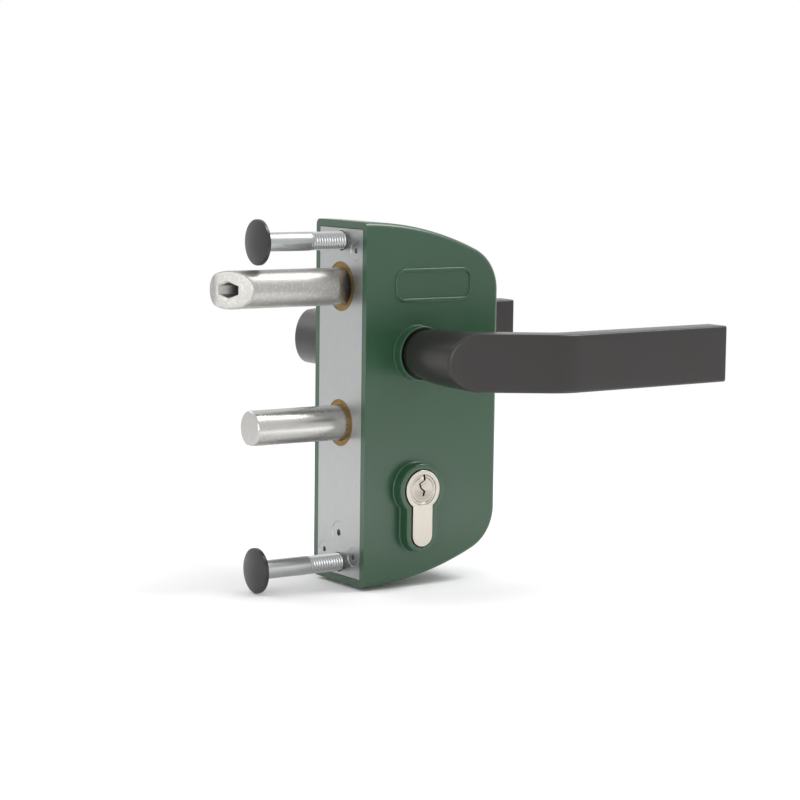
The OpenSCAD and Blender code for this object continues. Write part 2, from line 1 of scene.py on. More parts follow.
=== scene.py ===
"""Gate lock box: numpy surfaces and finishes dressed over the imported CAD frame.

Sizes are millimetres in the frame of the CAD and become metres as a mesh is filled.
X runs from the mounting face into the case, -Y is the front and +Z is up.
"""
import json
import logging
import math
from collections.abc import Sequence
from dataclasses import dataclass, field, replace
from enum import Enum

import bmesh
import bpy
import numpy as np
from mathutils import Matrix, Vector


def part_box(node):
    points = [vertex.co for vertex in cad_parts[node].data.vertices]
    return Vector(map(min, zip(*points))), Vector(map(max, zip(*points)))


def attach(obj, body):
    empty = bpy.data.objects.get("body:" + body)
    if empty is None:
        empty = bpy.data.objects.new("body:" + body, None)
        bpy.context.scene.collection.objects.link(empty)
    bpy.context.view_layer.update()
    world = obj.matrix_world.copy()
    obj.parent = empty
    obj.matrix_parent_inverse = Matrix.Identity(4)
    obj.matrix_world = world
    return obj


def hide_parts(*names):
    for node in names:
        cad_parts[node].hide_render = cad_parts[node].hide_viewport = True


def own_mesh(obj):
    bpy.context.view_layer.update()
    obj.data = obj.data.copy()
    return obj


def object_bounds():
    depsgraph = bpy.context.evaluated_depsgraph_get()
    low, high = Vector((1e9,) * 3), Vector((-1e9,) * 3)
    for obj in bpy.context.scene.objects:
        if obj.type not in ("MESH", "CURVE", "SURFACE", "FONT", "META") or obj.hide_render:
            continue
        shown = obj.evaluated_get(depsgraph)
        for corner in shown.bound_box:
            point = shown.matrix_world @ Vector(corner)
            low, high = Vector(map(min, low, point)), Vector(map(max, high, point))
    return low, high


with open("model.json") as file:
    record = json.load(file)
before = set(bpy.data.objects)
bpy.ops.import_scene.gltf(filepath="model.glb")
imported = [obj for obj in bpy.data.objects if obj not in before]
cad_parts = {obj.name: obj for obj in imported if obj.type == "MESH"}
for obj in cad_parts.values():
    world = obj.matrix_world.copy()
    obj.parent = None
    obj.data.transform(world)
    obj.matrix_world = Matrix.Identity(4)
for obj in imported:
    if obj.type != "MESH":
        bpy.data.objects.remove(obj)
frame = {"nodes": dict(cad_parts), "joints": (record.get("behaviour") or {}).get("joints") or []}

Tree = bpy.types.NodeTree
Socket = bpy.types.NodeSocket
Point = tuple[float, float, float]

LOG = logging.getLogger("gate_lock_box")
MM = 0.001
# Points closer than this, in metres, are welded
WELD = 2e-6
# Shortest edge, in millimetres, that still has a direction
TINY = 2e-6
# How far a cutter stands past a face that it cuts, in millimetres
PAST = 1.0
WHITE = (1.0, 1.0, 1.0, 1.0)


def corners_of(bounds: Sequence) -> list[list[float]]:
    """Lowest and highest corner of a box as plain lists."""
    return [[float(value) for value in corner] for corner in bounds]


CAD_BOX = corners_of(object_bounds())


class Body(Enum):
    """Bodies of the frame that pieces ride on."""

    CASE = "lock_case"
    HANDLES = "handle_set"
    LATCH = "latch"
    KEY = "key_core"
    DEAD_BOLT = "dead_bolt_set"


class Side(Enum):
    """Broad face of the case that a piece stands on, as the sign of its Y."""

    FRONT = -1
    REAR = 1


class Axis(Enum):
    """Axis of a turned shape, as the order that makes XYZ of (cosine, sine, height)."""

    X = (2, 0, 1)
    Y = (0, 2, 1)
    Z = (1, 0, 2)


def node_box(node: str) -> tuple[np.ndarray, np.ndarray]:
    """Lowest and highest corner of a CAD node in millimetres."""
    low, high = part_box(node)
    return np.array(low) / MM, np.array(high) / MM


def joint_facts(name: str) -> dict:
    """What the frame says of a joint."""
    return next(joint for joint in frame["joints"] if joint["name"] == name)


def joint_point(name: str) -> np.ndarray:
    """Point of a hinge's axis in millimetres."""
    return np.array(joint_facts(name)["pos_m"]) / MM


# Surfaces


@dataclass
class Surface:
    """Points and faces of a sheet or solid, in millimetres."""

    points: np.ndarray
    faces: list[list[int]]


def join(*parts: Surface) -> Surface:
    """Puts surfaces side by side in one.

    Args:
        parts: Surfaces that share no point.

    Returns:
        One surface with every point and face.
    """
    starts = np.cumsum([0] + [len(part.points) for part in parts])
    faces = [[start + i for i in face] for start, part in zip(starts, parts) for face in part.faces]
    return Surface(np.vstack([part.points for part in parts]), faces)


def sheet(grid: np.ndarray, wrap_rows: bool = False, wrap_columns: bool = True) -> Surface:
    """Covers a grid of points with four-sided faces.

    Args:
        grid: Points as rows, columns and XYZ.
        wrap_rows: Joins the last row to the first.
        wrap_columns: Joins the last column to the first.

    Returns:
        The surface.
    """
    index = np.arange(grid.shape[0] * grid.shape[1]).reshape(grid.shape[:2])
    if wrap_rows:
        index = np.vstack([index, index[:1]])
    if wrap_columns:
        index = np.hstack([index, index[:, :1]])
    quads = np.stack([index[:-1, :-1], index[:-1, 1:], index[1:, 1:], index[1:, :-1]], axis=-1)
    return Surface(grid.reshape(-1, 3), quads.reshape(-1, 4).tolist())


def turn(count: int) -> np.ndarray:
    """Angles of one full turn without its last, which equals its first."""
    return np.linspace(0, 2 * np.pi, count, endpoint=False)


def widen(values: Sequence[float], steps: int) -> np.ndarray:
    """Rows that each hold one value all the way along."""
    return np.repeat(np.asarray(values, float)[:, None], steps, axis=1)


def raised(flat: np.ndarray, level: np.ndarray) -> np.ndarray:
    """Rows of points in X and Z, each row set at its own Y."""
    return np.insert(flat, 1, widen(level, flat.shape[1]), axis=2)


def lathe(profile: np.ndarray | Sequence, axis: Axis, centre: Sequence[float], steps: int = 96,
          closed: bool = False) -> Surface:
    """Turns a profile about an axis: centre + radius * (cos a, sin a) across it + height along it.

    Args:
        profile: Radius and height of each point.
        axis: Direction of the axis.
        centre: Point on the axis from which height counts.
        steps: Points round the axis.
        closed: Joins the profile's end to its start, for a ring.

    Returns:
        The turned surface.
    """
    angle = turn(steps)
    radius, height = np.asarray(profile, float).T
    across = [np.outer(radius, np.cos(angle)), np.outer(radius, np.sin(angle))]
    grid = np.stack([*across, widen(height, steps)], axis=-1)
    return sheet(grid[..., axis.value] + np.asarray(centre), wrap_rows=closed)


def rod(radius: float, low: float, high: float, axis: Axis, centre: Sequence[float],
        steps: int = 96) -> Surface:
    """Closed round bar between two heights along an axis."""
    return lathe([(0, low), (radius, low), (radius, high), (0, high)], axis, centre, steps)


def prism(outline: np.ndarray, low: float, high: float) -> Surface:
    """Carries an outline in X and Z along Y and closes both ends with one face each.

    Args:
        outline: Points in X and Z, in order.
        low: Lower Y.
        high: Higher Y.

    Returns:
        The closed surface.
    """
    count = len(outline)
    walls = sheet(np.stack([np.insert(outline, 1, y, axis=1) for y in (low, high)]))
    ends = [list(range(count)), list(range(2 * count - 1, count - 1, -1))]
    return Surface(walls.points, walls.faces + ends)


def softened(corners: Sequence[Sequence[float]], radii: Sequence[float], steps: int = 6) -> np.ndarray:
    """Open line whose corners are swapped for short curves.

    A corner C becomes (1-t)^2 A + 2t(1-t) C + t^2 B, with A and B on its two edges at its radius from C.

    Args:
        corners: Points of the line.
        radii: Distance of A and B from each corner.
        steps: Points of each curve.

    Returns:
        Points of the softened line.
    """
    place = np.asarray(corners, float)
    before = np.vstack([place[:1], place[:-1]]) - place
    after = np.vstack([place[1:], place[-1:]]) - place
    reach = np.asarray(radii, float)[:, None]
    start = place + reach * before / np.maximum(np.linalg.norm(before, axis=1, keepdims=True), TINY)
    end = place + reach * after / np.maximum(np.linalg.norm(after, axis=1, keepdims=True), TINY)
    t = np.linspace(0, 1, steps)[None, :, None]
    curve = (1 - t) ** 2 * start[:, None] + 2 * t * (1 - t) * place[:, None] + t ** 2 * end[:, None]
    return curve.reshape(-1, 2)


def quarter(steps: int = 8) -> tuple[np.ndarray, np.ndarray]:
    """Drawing-in and depth along a rounded edge of radius 1, from the broad face to the side."""
    angle = np.linspace(0, np.pi / 2, steps)
    return 1 - np.sin(angle), 1 - np.cos(angle)


# Objects


def add_object(name: str, data: bpy.types.ID) -> bpy.types.Object:
    """Adds an object to the scene.

    Args:
        name: Name of the object.
        data: Mesh, lamp or camera that it shows.

    Returns:
        The object.
    """
    made = bpy.data.objects.new(name, data)
    bpy.context.scene.collection.objects.link(made)
    return made


def placement(axes: Sequence[np.ndarray], where: Sequence[float]) -> Matrix:
    """Matrix that lays X, Y and Z along three axes at a point.

    Args:
        axes: Directions of X, Y and Z.
        where: The point, in metres.

    Returns:
        The matrix.
    """
    matrix = np.eye(4)
    matrix[:3, :3], matrix[:3, 3] = np.stack(axes, axis=1), where
    return Matrix(matrix.tolist())


def fill_mesh(name: str, surface: Surface) -> bpy.types.Mesh:
    """Makes a mesh in metres with its seams and poles welded and its faces outward.

    Args:
        name: Name of the mesh.
        surface: Points in millimetres and faces.

    Returns:
        The mesh.
    """
    mesh = bpy.data.meshes.new(name)
    mesh.from_pydata(surface.points * MM, [], surface.faces)
    work = bmesh.new()
    work.from_mesh(mesh)
    bmesh.ops.remove_doubles(work, verts=work.verts, dist=WELD)
    bmesh.ops.dissolve_degenerate(work, dist=WELD, edges=work.edges)
    bmesh.ops.recalc_face_normals(work, faces=work.faces)
    work.to_mesh(mesh)
    work.free()
    return mesh


def carved(surface: Surface, cutters: Sequence[Surface]) -> bpy.types.Mesh:
    """Cuts closed surfaces out of another.

    Args:
        surface: Closed surface to cut, in millimetres.
        cutters: Closed surfaces that are taken out of it.

    Returns:
        The cut mesh.
    """
    block = add_object("block", fill_mesh("block", surface))
    tools = [add_object("tool", fill_mesh("tool", cutter)) for cutter in cutters]
    for tool in tools:
        cut = block.modifiers.new("cut", "BOOLEAN")
        cut.operation, cut.solver, cut.object = "DIFFERENCE", "EXACT", tool
    result = bpy.data.meshes.new_from_object(block.evaluated_get(bpy.context.evaluated_depsgraph_get()))
    for item in [block, *tools]:
        bpy.data.objects.remove(item)
    return result


# Finishes


def linear(colour: str) -> tuple[float, float, float, float]:
    """Turns an sRGB colour to linear by the standard's own curve.

    Args:
        colour: Hex value such as #d0c8c0.

    Returns:
        Red, green, blue and full opacity.
    """
    srgb = np.array([int(colour[i:i + 2], 16) for i in (1, 3, 5)]) / 255
    level = np.where(srgb <= 0.04045, srgb / 12.92, ((srgb + 0.055) / 1.055) ** 2.4)
    return (*level.tolist(), 1.0)


def add_node(tree: Tree, kind: str, settings: dict | None = None,
             links: dict | None = None) -> bpy.types.Node:
    """Adds a shader node with its settings and links.

    Args:
        tree: Node tree that takes it.
        kind: Blender's name for the node.
        settings: Values by property or by input name or number.
        links: Output sockets by input name or number.

    Returns:
        The node.
    """
    made = tree.nodes.new(kind)
    for key, value in (settings or {}).items():
        if isinstance(key, str) and hasattr(made, key):
            setattr(made, key, value)
        else:
            made.inputs[key].default_value = value
    for key, source in (links or {}).items():
        tree.links.new(source, made.inputs[key])
    return made


@dataclass(frozen=True)
class Finish:
    """A finish with a slow drift of colour and gloss and a fine relief, both at real sizes.

    Attributes:
        name: Common name of the material and how its surface was made.
        slot: Material slot of the record; not used.
        colour: Main colour.
        drift: Colour that it drifts towards.
        drift_mm: Size of the drift.
        roughness: Middle roughness.
        swing: How far roughness drifts to each side.
        grain_mm: Size of the relief.
        depth_mm: Depth of the relief.
        metallic: 1 for bare metal.
        ior: Refractive index; bare metal keeps the shader's own.
    """

    name: str
    slot: str
    colour: str
    drift: str
    drift_mm: float
    roughness: float
    swing: float
    grain_mm: float
    depth_mm: float
    metallic: float = 0.0
    ior: float = 1.5

    def pattern(self, tree: Tree, place: Socket) -> Socket:
        """Height of the relief: noise at the size of the grain."""
        settings = {"Scale": 1 / (self.grain_mm * MM), "Detail": 3.0, "Roughness": 0.55}
        return add_node(tree, "ShaderNodeTexNoise", settings, {"Vector": place}).outputs[0]

    def tint(self, tree: Tree, place: Socket, drift: Socket) -> Socket:
        """Colour over the surface: the main one, mixed with the second by the drift."""
        settings = {"data_type": "RGBA", 6: linear(self.colour), 7: linear(self.drift)}
        return add_node(tree, "ShaderNodeMix", settings, {0: drift}).outputs[2]

    def material(self) -> bpy.types.Material:
        """Builds the material once and hands the same one out afterwards.

        Returns:
            The material.
        """
        known = bpy.data.materials.get(self.name)
        if known:
            return known
        made = bpy.data.materials.new(self.name)
        made.use_nodes = True
        tree = made.node_tree
        shader = tree.nodes["Principled BSDF"]
        place = add_node(tree, "ShaderNodeTexCoord").outputs["Object"]
        settings = {"Scale": 1 / (self.drift_mm * MM), "Detail": 4.0, "Roughness": 0.6}
        drift = add_node(tree, "ShaderNodeTexNoise", settings, {"Vector": place}).outputs[0]
        span = {3: self.roughness - self.swing, 4: self.roughness + self.swing}
        gloss = add_node(tree, "ShaderNodeMapRange", span, {0: drift})
        height = self.pattern(tree, place)
        bump = add_node(tree, "ShaderNodeBump", {"Distance": self.depth_mm * MM}, {"Height": height})
        tree.links.new(self.tint(tree, place, drift), shader.inputs["Base Color"])
        tree.links.new(gloss.outputs[0], shader.inputs["Roughness"])
        tree.links.new(bump.outputs[0], shader.inputs["Normal"])
        shader.inputs["Metallic"].default_value = self.metallic
        shader.inputs["IOR"].default_value = self.ior
        return made


@dataclass(frozen=True)
class BlastedFinish(Finish):
    """A finish with pits left by the grit and painted glints: bright specks that stand in for light caught
    by the grains.

    Attributes:
        grit_mm: Size of a pit.
        glint: Colour of the painted glints.
        glint_mm: Size of the noise whose peaks are the painted glints.
        glint_span: Noise at which a painted glint starts and at which it is brightest.
        glint_share: Share of the glint colour in the brightest painted glint.
    """

    grit_mm: float = 0.8
    glint: str = "#c9c7c2"
    glint_mm: float = 1.28
    glint_span: tuple[float, float] = (0.5, 0.75)
    glint_share: float = 0.75

    def pattern(self, tree: Tree, place: Socket) -> Socket:
        """Height of the pits: distance to the nearest of scattered points, softened by the grain.

        Args:
            tree: Node tree of the material.
            place: Coordinates on the piece.

        Returns:
            The height.
        """
        pits = add_node(tree, "ShaderNodeTexVoronoi", {"Scale": 1 / (self.grit_mm * MM)}, {"Vector": place})
        links = {0: pits.outputs["Distance"], 1: super().pattern(tree, place)}
        return add_node(tree, "ShaderNodeMath", {"operation": "ADD"}, links).outputs[0]

    def tint(self, tree: Tree, place: Socket, drift: Socket) -> Socket:
        """Drifting colour with painted glints where fine noise peaks.

        Args:
            tree: Node tree of the material.
            place: Coordinates on the piece.
            drift: Slow noise from 0 to 1.

        Returns:
            The colour.
        """
        base = super().tint(tree, place, drift)
        settings = {"Scale": 1 / (self.glint_mm * MM), "Detail": 2.0}
        noise = add_node(tree, "ShaderNodeTexNoise", settings, {"Vector": place})
        start, brightest = self.glint_span
        settings = {1: start, 2: brightest, 4: self.glint_share}
        peak = add_node(tree, "ShaderNodeMapRange", settings, {0: noise.outputs[0]})
        # Painted glints: bright specks mixed into the base colour where the fine noise peaks
        settings = {"data_type": "RGBA", 7: linear(self.glint)}
        return add_node(tree, "ShaderNodeMix", settings, {0: peak.outputs[0], 6: base}).outputs[2]


@dataclass(frozen=True)
class TurnedFinish(Finish):
    """A finish with the fine rings that a lathe tool leaves round an axis along X.

    Attributes:
        ring_mm: Distance between rings.
        axis_z: Height of the axis.
    """

    ring_mm: float = 0.9
    axis_z: float = 0.0

    def pattern(self, tree: Tree, place: Socket) -> Socket:
        """Height of the rings: a wave of the distance from a point on the axis, roughened by the grain.

        Args:
            tree: Node tree of the material.
            place: Coordinates on the piece.

        Returns:
            The height.
        """
        settings = {"Location": (0.0, 0.0, -self.axis_z * MM)}
        centred = add_node(tree, "ShaderNodeMapping", settings, {"Vector": place})
        # A full wave of the texture is 2 pi / 20 of a unit at scale 1
        settings = {"wave_type": "RINGS", "rings_direction": "SPHERICAL",
                    "Scale": 2 * math.pi / 20 / (self.ring_mm * MM), "Distortion": 0.4}
        rings = add_node(tree, "ShaderNodeTexWave", settings, {"Vector": centred.outputs[0]})
        links = {0: rings.outputs[1], 1: super().pattern(tree, place)}
        return add_node(tree, "ShaderNodeMath", {"operation": "ADD"}, links).outputs[0]


# Grain, pits and rings of real size are too fine to show, so they are drawn at 0.5 to 1.6 mm.

# Polyester powder coat: the melted grains level to a faint orange peel with an even satin gloss.
# The peel is drawn at 1.6 mm, about twice its real size.
POWDER_COAT = Finish("moss green powder coat on cast aluminium", "case_green", "#23472f", "#274c34",
                     drift_mm=24.0, roughness=0.3, swing=0.04, grain_mm=1.6, depth_mm=0.01, ior=1.6)
# Glass-filled polyamide from an etched mould: dark, a little warm, with a dull even sheen.
LEVER_POLYAMIDE = Finish("charcoal polyamide, etched mould", "lever_black", "#221f1e", "#272423",
                         drift_mm=30.0, roughness=0.34, swing=0.05, grain_mm=0.9, depth_mm=0.01)
# Unfilled nylon from a smooth mould: black with a soft wide highlight.
CAP_NYLON = Finish("black moulded nylon", "cap_black", "#1c1b1d", "#222123",
                   drift_mm=14.0, roughness=0.3, swing=0.04, grain_mm=1.2, depth_mm=0.004)
# Investment-cast stainless steel, blasted: pale grey with pits, and painted glints on its grains.
LATCH_STEEL = BlastedFinish("cast stainless steel, grit blasted", "latch_steel", "#a6a4a1", "#b5b3af",
                            drift_mm=6.0, roughness=0.42, swing=0.07, grain_mm=0.7, depth_mm=0.02,
                            metallic=1.0)
# Stainless bar turned on a lathe: bright, with fine rings that stretch the highlights.
BOLT_STEEL = TurnedFinish("turned stainless steel bar", "bolt_steel", "#b6b4b1", "#c2c0bd",
                          drift_mm=9.0, roughness=0.28, swing=0.05, grain_mm=0.5, depth_mm=0.003,
                          metallic=1.0)
# Zinc plating with clear passivation: bluish grey, mottled, half bright.
ZINC_STEEL = Finish("zinc plated steel", "zinc_steel", "#a6aaad", "#b7b8b4",
                    drift_mm=5.0, roughness=0.34, swing=0.08, grain_mm=0.8, depth_mm=0.004, metallic=1.0)
# Cold-drawn spring wire with a film of oil: darker grey and smooth.
SPRING_STEEL = Finish("drawn spring steel wire", "spring_steel", "#8b8e92", "#9a9da0",
                      drift_mm=4.0, roughness=0.3, swing=0.05, grain_mm=0.6, depth_mm=0.002, metallic=1.0)
# Sintered bronze, oil-filled: matt yellow brown with fine pores.
GUIDE_BRONZE = Finish("sintered bronze", "guide_bronze", "#94794a", "#80683f",
                      drift_mm=3.0, roughness=0.46, swing=0.07, grain_mm=0.5, depth_mm=0.012, metallic=1.0)
# Oil-filled nylon, black and waxy; its near-black is also painted shade, standing in for the dark gap round
# the neck.
BUSH_NYLON = Finish("black bearing nylon", "bush_nylon", "#151516", "#1b1b1c",
                    drift_mm=6.0, roughness=0.4, swing=0.04, grain_mm=0.8, depth_mm=0.004)
# Nickel plate over brushed brass: warm white metal with a fine satin grain.
CYLINDER_NICKEL = Finish("satin nickel plated brass", "cylinder_nickel", "#b5afa6", "#beb8af",
                         drift_mm=4.0, roughness=0.3, swing=0.06, grain_mm=0.6, depth_mm=0.004, metallic=1.0)


def dress(mesh: bpy.types.Mesh, finish: Finish) -> None:
    """Puts one finish all over a mesh."""
    mesh.materials.clear()
    mesh.materials.append(finish.material())


def make_piece(name: str, shape: Surface | bpy.types.Mesh, finish: Finish, body: Body,
               stands_for: Sequence[str] = (), crease: float = 32.0, bevel: float = 0.0) -> bpy.types.Object:
    """Makes an object of a shape, dresses it and lets it ride on a body.

    Args:
        name: Name of the piece.
        shape: Its surface, or its mesh where that is already cut, in place.
        finish: Its finish.
        body: Body that carries it.
        stands_for: CAD nodes that it replaces.
        crease: Angle in degrees above which an edge stays sharp.
        bevel: Width of a rounded edge in millimetres, 0 for none.

    Returns:
        The object.
    """
    mesh = fill_mesh(name, shape) if isinstance(shape, Surface) else shape
    mesh.name = name
    dress(mesh, finish)
    mesh.shade_smooth()
    mesh.set_sharp_from_angle(angle=math.radians(crease))
    piece = add_object(name, mesh)
    if bevel:
        rounding = piece.modifiers.new("edges", "BEVEL")
        rounding.width, rounding.segments = bevel * MM, 3
        rounding.limit_method, rounding.angle_limit = "ANGLE", math.radians(crease)
        rounding.harden_normals = True
    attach(piece, body.value)
    if stands_for:
        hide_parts(*stands_for)
    LOG.info("%s: %d faces on %s", name, len(mesh.polygons), body.value)
    return piece


# Sub-assemblies


@dataclass
class Keyhole:
    """Profile of the cylinder in X and Z: a circle with a round-ended stem below it."""

    radius: float = 8.5
    stem: float = 10.0
    height: float = 33.0
    steps: int = 40
    centre: np.ndarray = field(default_factory=lambda: joint_point("key_turn"))

    def outline(self, grow: Sequence[float]) -> np.ndarray:
        """Outline widened by each of several distances.

        The circle grows to R = radius + g and the stem to half width w = stem / 2 + g. They meet where
        sin a = w / R from straight down, and the stem ends in a half circle of radius w.

        Args:
            grow: Distances by which the outline is widened.

        Returns:
            Points as distances, places along the outline, and X and Z.
        """
        wide = self.radius + np.asarray(grow, float)[:, None]
        half = self.stem / 2 + np.asarray(grow, float)[:, None]
        t = np.linspace(0, 1, self.steps, endpoint=False)[None]
        foot = self.radius - self.height + self.stem / 2
        meet = np.arcsin(half / wide)
        neck = -wide * np.cos(meet)
        angle = -np.pi / 2 + meet + (2 * np.pi - 2 * meet) * t
        low = np.pi + np.pi * t
        drop = neck + (foot - neck) * t
        x = np.hstack([wide * np.cos(angle), -half + 0 * t, half * np.cos(low), half + 0 * t])
        z = np.hstack([wide * np.sin(angle), drop, foot + half * np.sin(low), foot + neck - drop])
        return np.stack([x + self.centre[0], z + self.centre[2]], axis=-1)


@dataclass
class Case:
    """Powder-coated casting: the crowned shell, its collars and the bare oblong frame.

    Attributes:
        face_rows: Rows over a broad face, as shares of the way from the mounting edge's middle.
        collar_edges: Rounding of the inner and outer edge of a handle collar's rim.
        key_edges: Rounding of the inner and outer edge of a key collar's rim.
        sunk: Depth to which the feet of the collars end below the face.
        root: Depth to which collars and frame reach into the wall.
        frame_edge: Rounding of the frame's bead.
    """

    thickness: float = 40.0
    wall: float = 3.0
    crown_radius: float = 137.0
    corner_radius: float = 19.5
    edge_radius: float = 2.5
    inner_edge: float = 0.5
    crown_steps: int = 28
    corner_steps: int = 16
    face_rows: tuple[float, ...] = (0.0, 0.4, 0.8)
    bore_radius: float = 10.9
    collar_radius: float = 11.8
    collar_height: float = 4.8
    collar_foot: float = 0.4
    collar_edges: tuple[float, float] = (0.2, 0.35)
    key_gap: float = 0.35
    key_rim: float = 2.3
    key_foot: float = 0.7
    key_edges: tuple[float, float] = (0.3, 0.7)
    sunk: float = 0.02
    root: float = 1.0
    frame_centre: tuple[float, float] = (34.2, 50.6)
    frame_size: tuple[float, float] = (39.6, 14.3)
    frame_corner: float = 5.0
    frame_rim: float = 1.6
    frame_rise: float = 0.6
    frame_edge: float = 0.58
    frame_steps: int = 24
    keyhole: Keyhole = field(default_factory=Keyhole)

    def __post_init__(self) -> None:
        """Takes depth, height and the rim of the key collars from the frame."""
        _, high = node_box("housing")
        self.depth, self.rim, self.height = high[0], high[1], 2 * high[2]
        self.face = self.thickness / 2

    def outline(self, inset: np.ndarray) -> np.ndarray:
        """Crowned outline from the lower end of the mounting edge round to the upper end.

        Every point is centre + (radius - inset) * (cos a, sin a), over the lower crown, two corners and
        the upper crown. The crowns are centred on the mounting face and touch the corners.

        Args:
            inset: Distances by which the outline is drawn in.

        Returns:
            Points as insets, places along the outline, and X and Z.
        """
        crown, corner = self.crown_radius, self.corner_radius
        crown_z = self.height / 2 - crown
        corner_x = self.depth - corner
        corner_z = crown_z + math.sqrt((crown - corner) ** 2 - corner_x ** 2)
        end = math.atan2(corner_z - crown_z, corner_x)
        upper = np.concatenate([np.linspace(0, end, self.corner_steps),
                                np.linspace(end, np.pi / 2, self.crown_steps)])
        angle = np.concatenate([-upper[::-1], upper])
        arcs = np.array([(0, -crown_z, crown), (corner_x, -corner_z, corner),
                         (corner_x, corner_z, corner), (0, crown_z, crown)])
        counts = [self.crown_steps, self.corner_steps, self.corner_steps, self.crown_steps]
        away, tall, radius = np.repeat(arcs, counts, axis=0).T
        reach = radius[None] - np.asarray(inset, float)[:, None]
        return np.stack([away + reach * np.cos(angle), tall + reach * np.sin(angle)], axis=-1)

    def skin(self, inset: float, half: float, edge: float) -> np.ndarray:
        """Skin of the case at one depth in its wall.

        Rows run from the middle of the mounting edge over the front face, round the front edge, over the
        side, and back to the middle of the rear face.

        Args:
            inset: How far the outline is drawn in.
            half: Distance of the broad faces from the middle.
            edge: Radius of their edges.

        Returns:
            Points as rows, places along the outline, and XYZ.
        """
        draw, deep = quarter()
        flat_rows = len(self.face_rows)
        rows = np.concatenate([np.full(flat_rows, edge), edge * draw])
        scale = np.concatenate([self.face_rows, np.ones(draw.size)])
        level = np.concatenate([np.full(flat_rows, half), half - edge * deep])
        rows, scale = np.concatenate([rows, rows[::-1]]), np.concatenate([scale, scale[::-1]])
        level = np.concatenate([-level, level[::-1]])
        return raised(self.outline(inset + rows) * scale[:, None, None], level)

    def shell(self) -> Surface:
        """Outer and inner skin, joined round the rim at the mounting face.

        Returns:
            The closed surface.
        """
        outer = self.skin(0.0, self.face, self.edge_radius)
        inner = self.skin(self.wall, self.face - self.wall, self.inner_edge)
        return sheet(np.concatenate([outer, inner[:, ::-1]], axis=1))

    def collar(self, inner: float, outer: float, top: float, foot: float,
               edges: tuple[float, float]) -> np.ndarray:
        """Section of a collar: a rim with rounded edges and a hollow foot.

        Args:
            inner: Distance of the rim's inner wall.
            outer: Distance of its outer wall.
            top: Height of the rim above the face.
            foot: Width of the hollow foot.
            edges: Rounding of the rim's inner and outer edge.

        Returns:
            Distances and heights above the face.
        """
        corners = [(inner, -self.root), (inner, top), (outer, top), (outer, -self.sunk),
                   (outer + foot, -self.sunk), (outer + foot, -self.root)]
        return softened(corners, [0, *edges, foot, 0, 0]).T

    def key_collar(self, side: Side) -> Surface:
        """Keyhole-shaped collar: its section carried along the outline of the profile.

        Args:
            side: Broad face that it stands on.

        Returns:
            The closed surface.
        """
        grow, rise = self.collar(self.key_gap, self.key_gap + self.key_rim, self.rim - self.face,
                                 self.key_foot, self.key_edges)
        return sheet(raised(self.keyhole.outline(grow), side.value * (self.face + rise)), wrap_rows=True)

    def handle_collar(self, side: Side) -> Surface:
        """Collar round a handle neck: its section turned about the handle axis.

        Args:
            side: Broad face that it stands on.

        Returns:
            The closed surface.
        """
        radius, rise = self.collar(self.bore_radius, self.collar_radius, self.collar_height,
                                   self.collar_foot, self.collar_edges)
        profile = np.stack([radius, side.value * (self.face + rise)], axis=-1)
        return lathe(profile, Axis.Y, joint_point("handle_turn") * (1, 0, 1), closed=True)

    def name_frame(self) -> Surface:
        """Bare oblong frame: a low rounded bead carried round a rectangle with round corners.

        Every point is a corner's centre + (corner radius - inset) * (cos a, sin a).

        Returns:
            The closed surface.
        """
        half = np.array(self.frame_size) / 2 - self.frame_corner
        signs = np.array([(1, 1), (-1, 1), (-1, -1), (1, -1)])
        middle = np.repeat(signs * half, self.frame_steps, axis=0)
        wide, tall = self.frame_rim, self.frame_rise
        corners = [(0, -self.root), (0, tall), (wide, tall), (wide, -self.root)]
        inset, rise = softened(corners, [0, self.frame_edge, self.frame_edge, 0]).T
        angle = turn(len(middle))
        heading = np.stack([np.cos(angle), np.sin(angle)], axis=-1)
        flat = middle + (self.frame_corner - inset)[:, None, None] * heading + np.array(self.frame_centre)
        return sheet(raised(flat, -self.face - rise), wrap_rows=True)

    def build(self) -> None:
        """Makes the shell with its bores, the collars of both sides and the frame."""
        past = self.rim + self.wall
        bore = rod(self.bore_radius, -past, past, Axis.Y, joint_point("handle_turn") * (1, 0, 1))
        slot = prism(self.keyhole.outline([self.key_gap])[0], -past, past)
        make_piece("case_shell", carved(self.shell(), [bore, slot]), POWDER_COAT, Body.CASE, ["housing"])
        for side in Side:
            for part, collar in (("handle", self.handle_collar), ("key", self.key_collar)):
                make_piece(f"{side.name.lower()}_{part}_collar", collar(side), POWDER_COAT, Body.CASE)
        make_piece("name_frame", self.name_frame(), POWDER_COAT, Body.CASE)


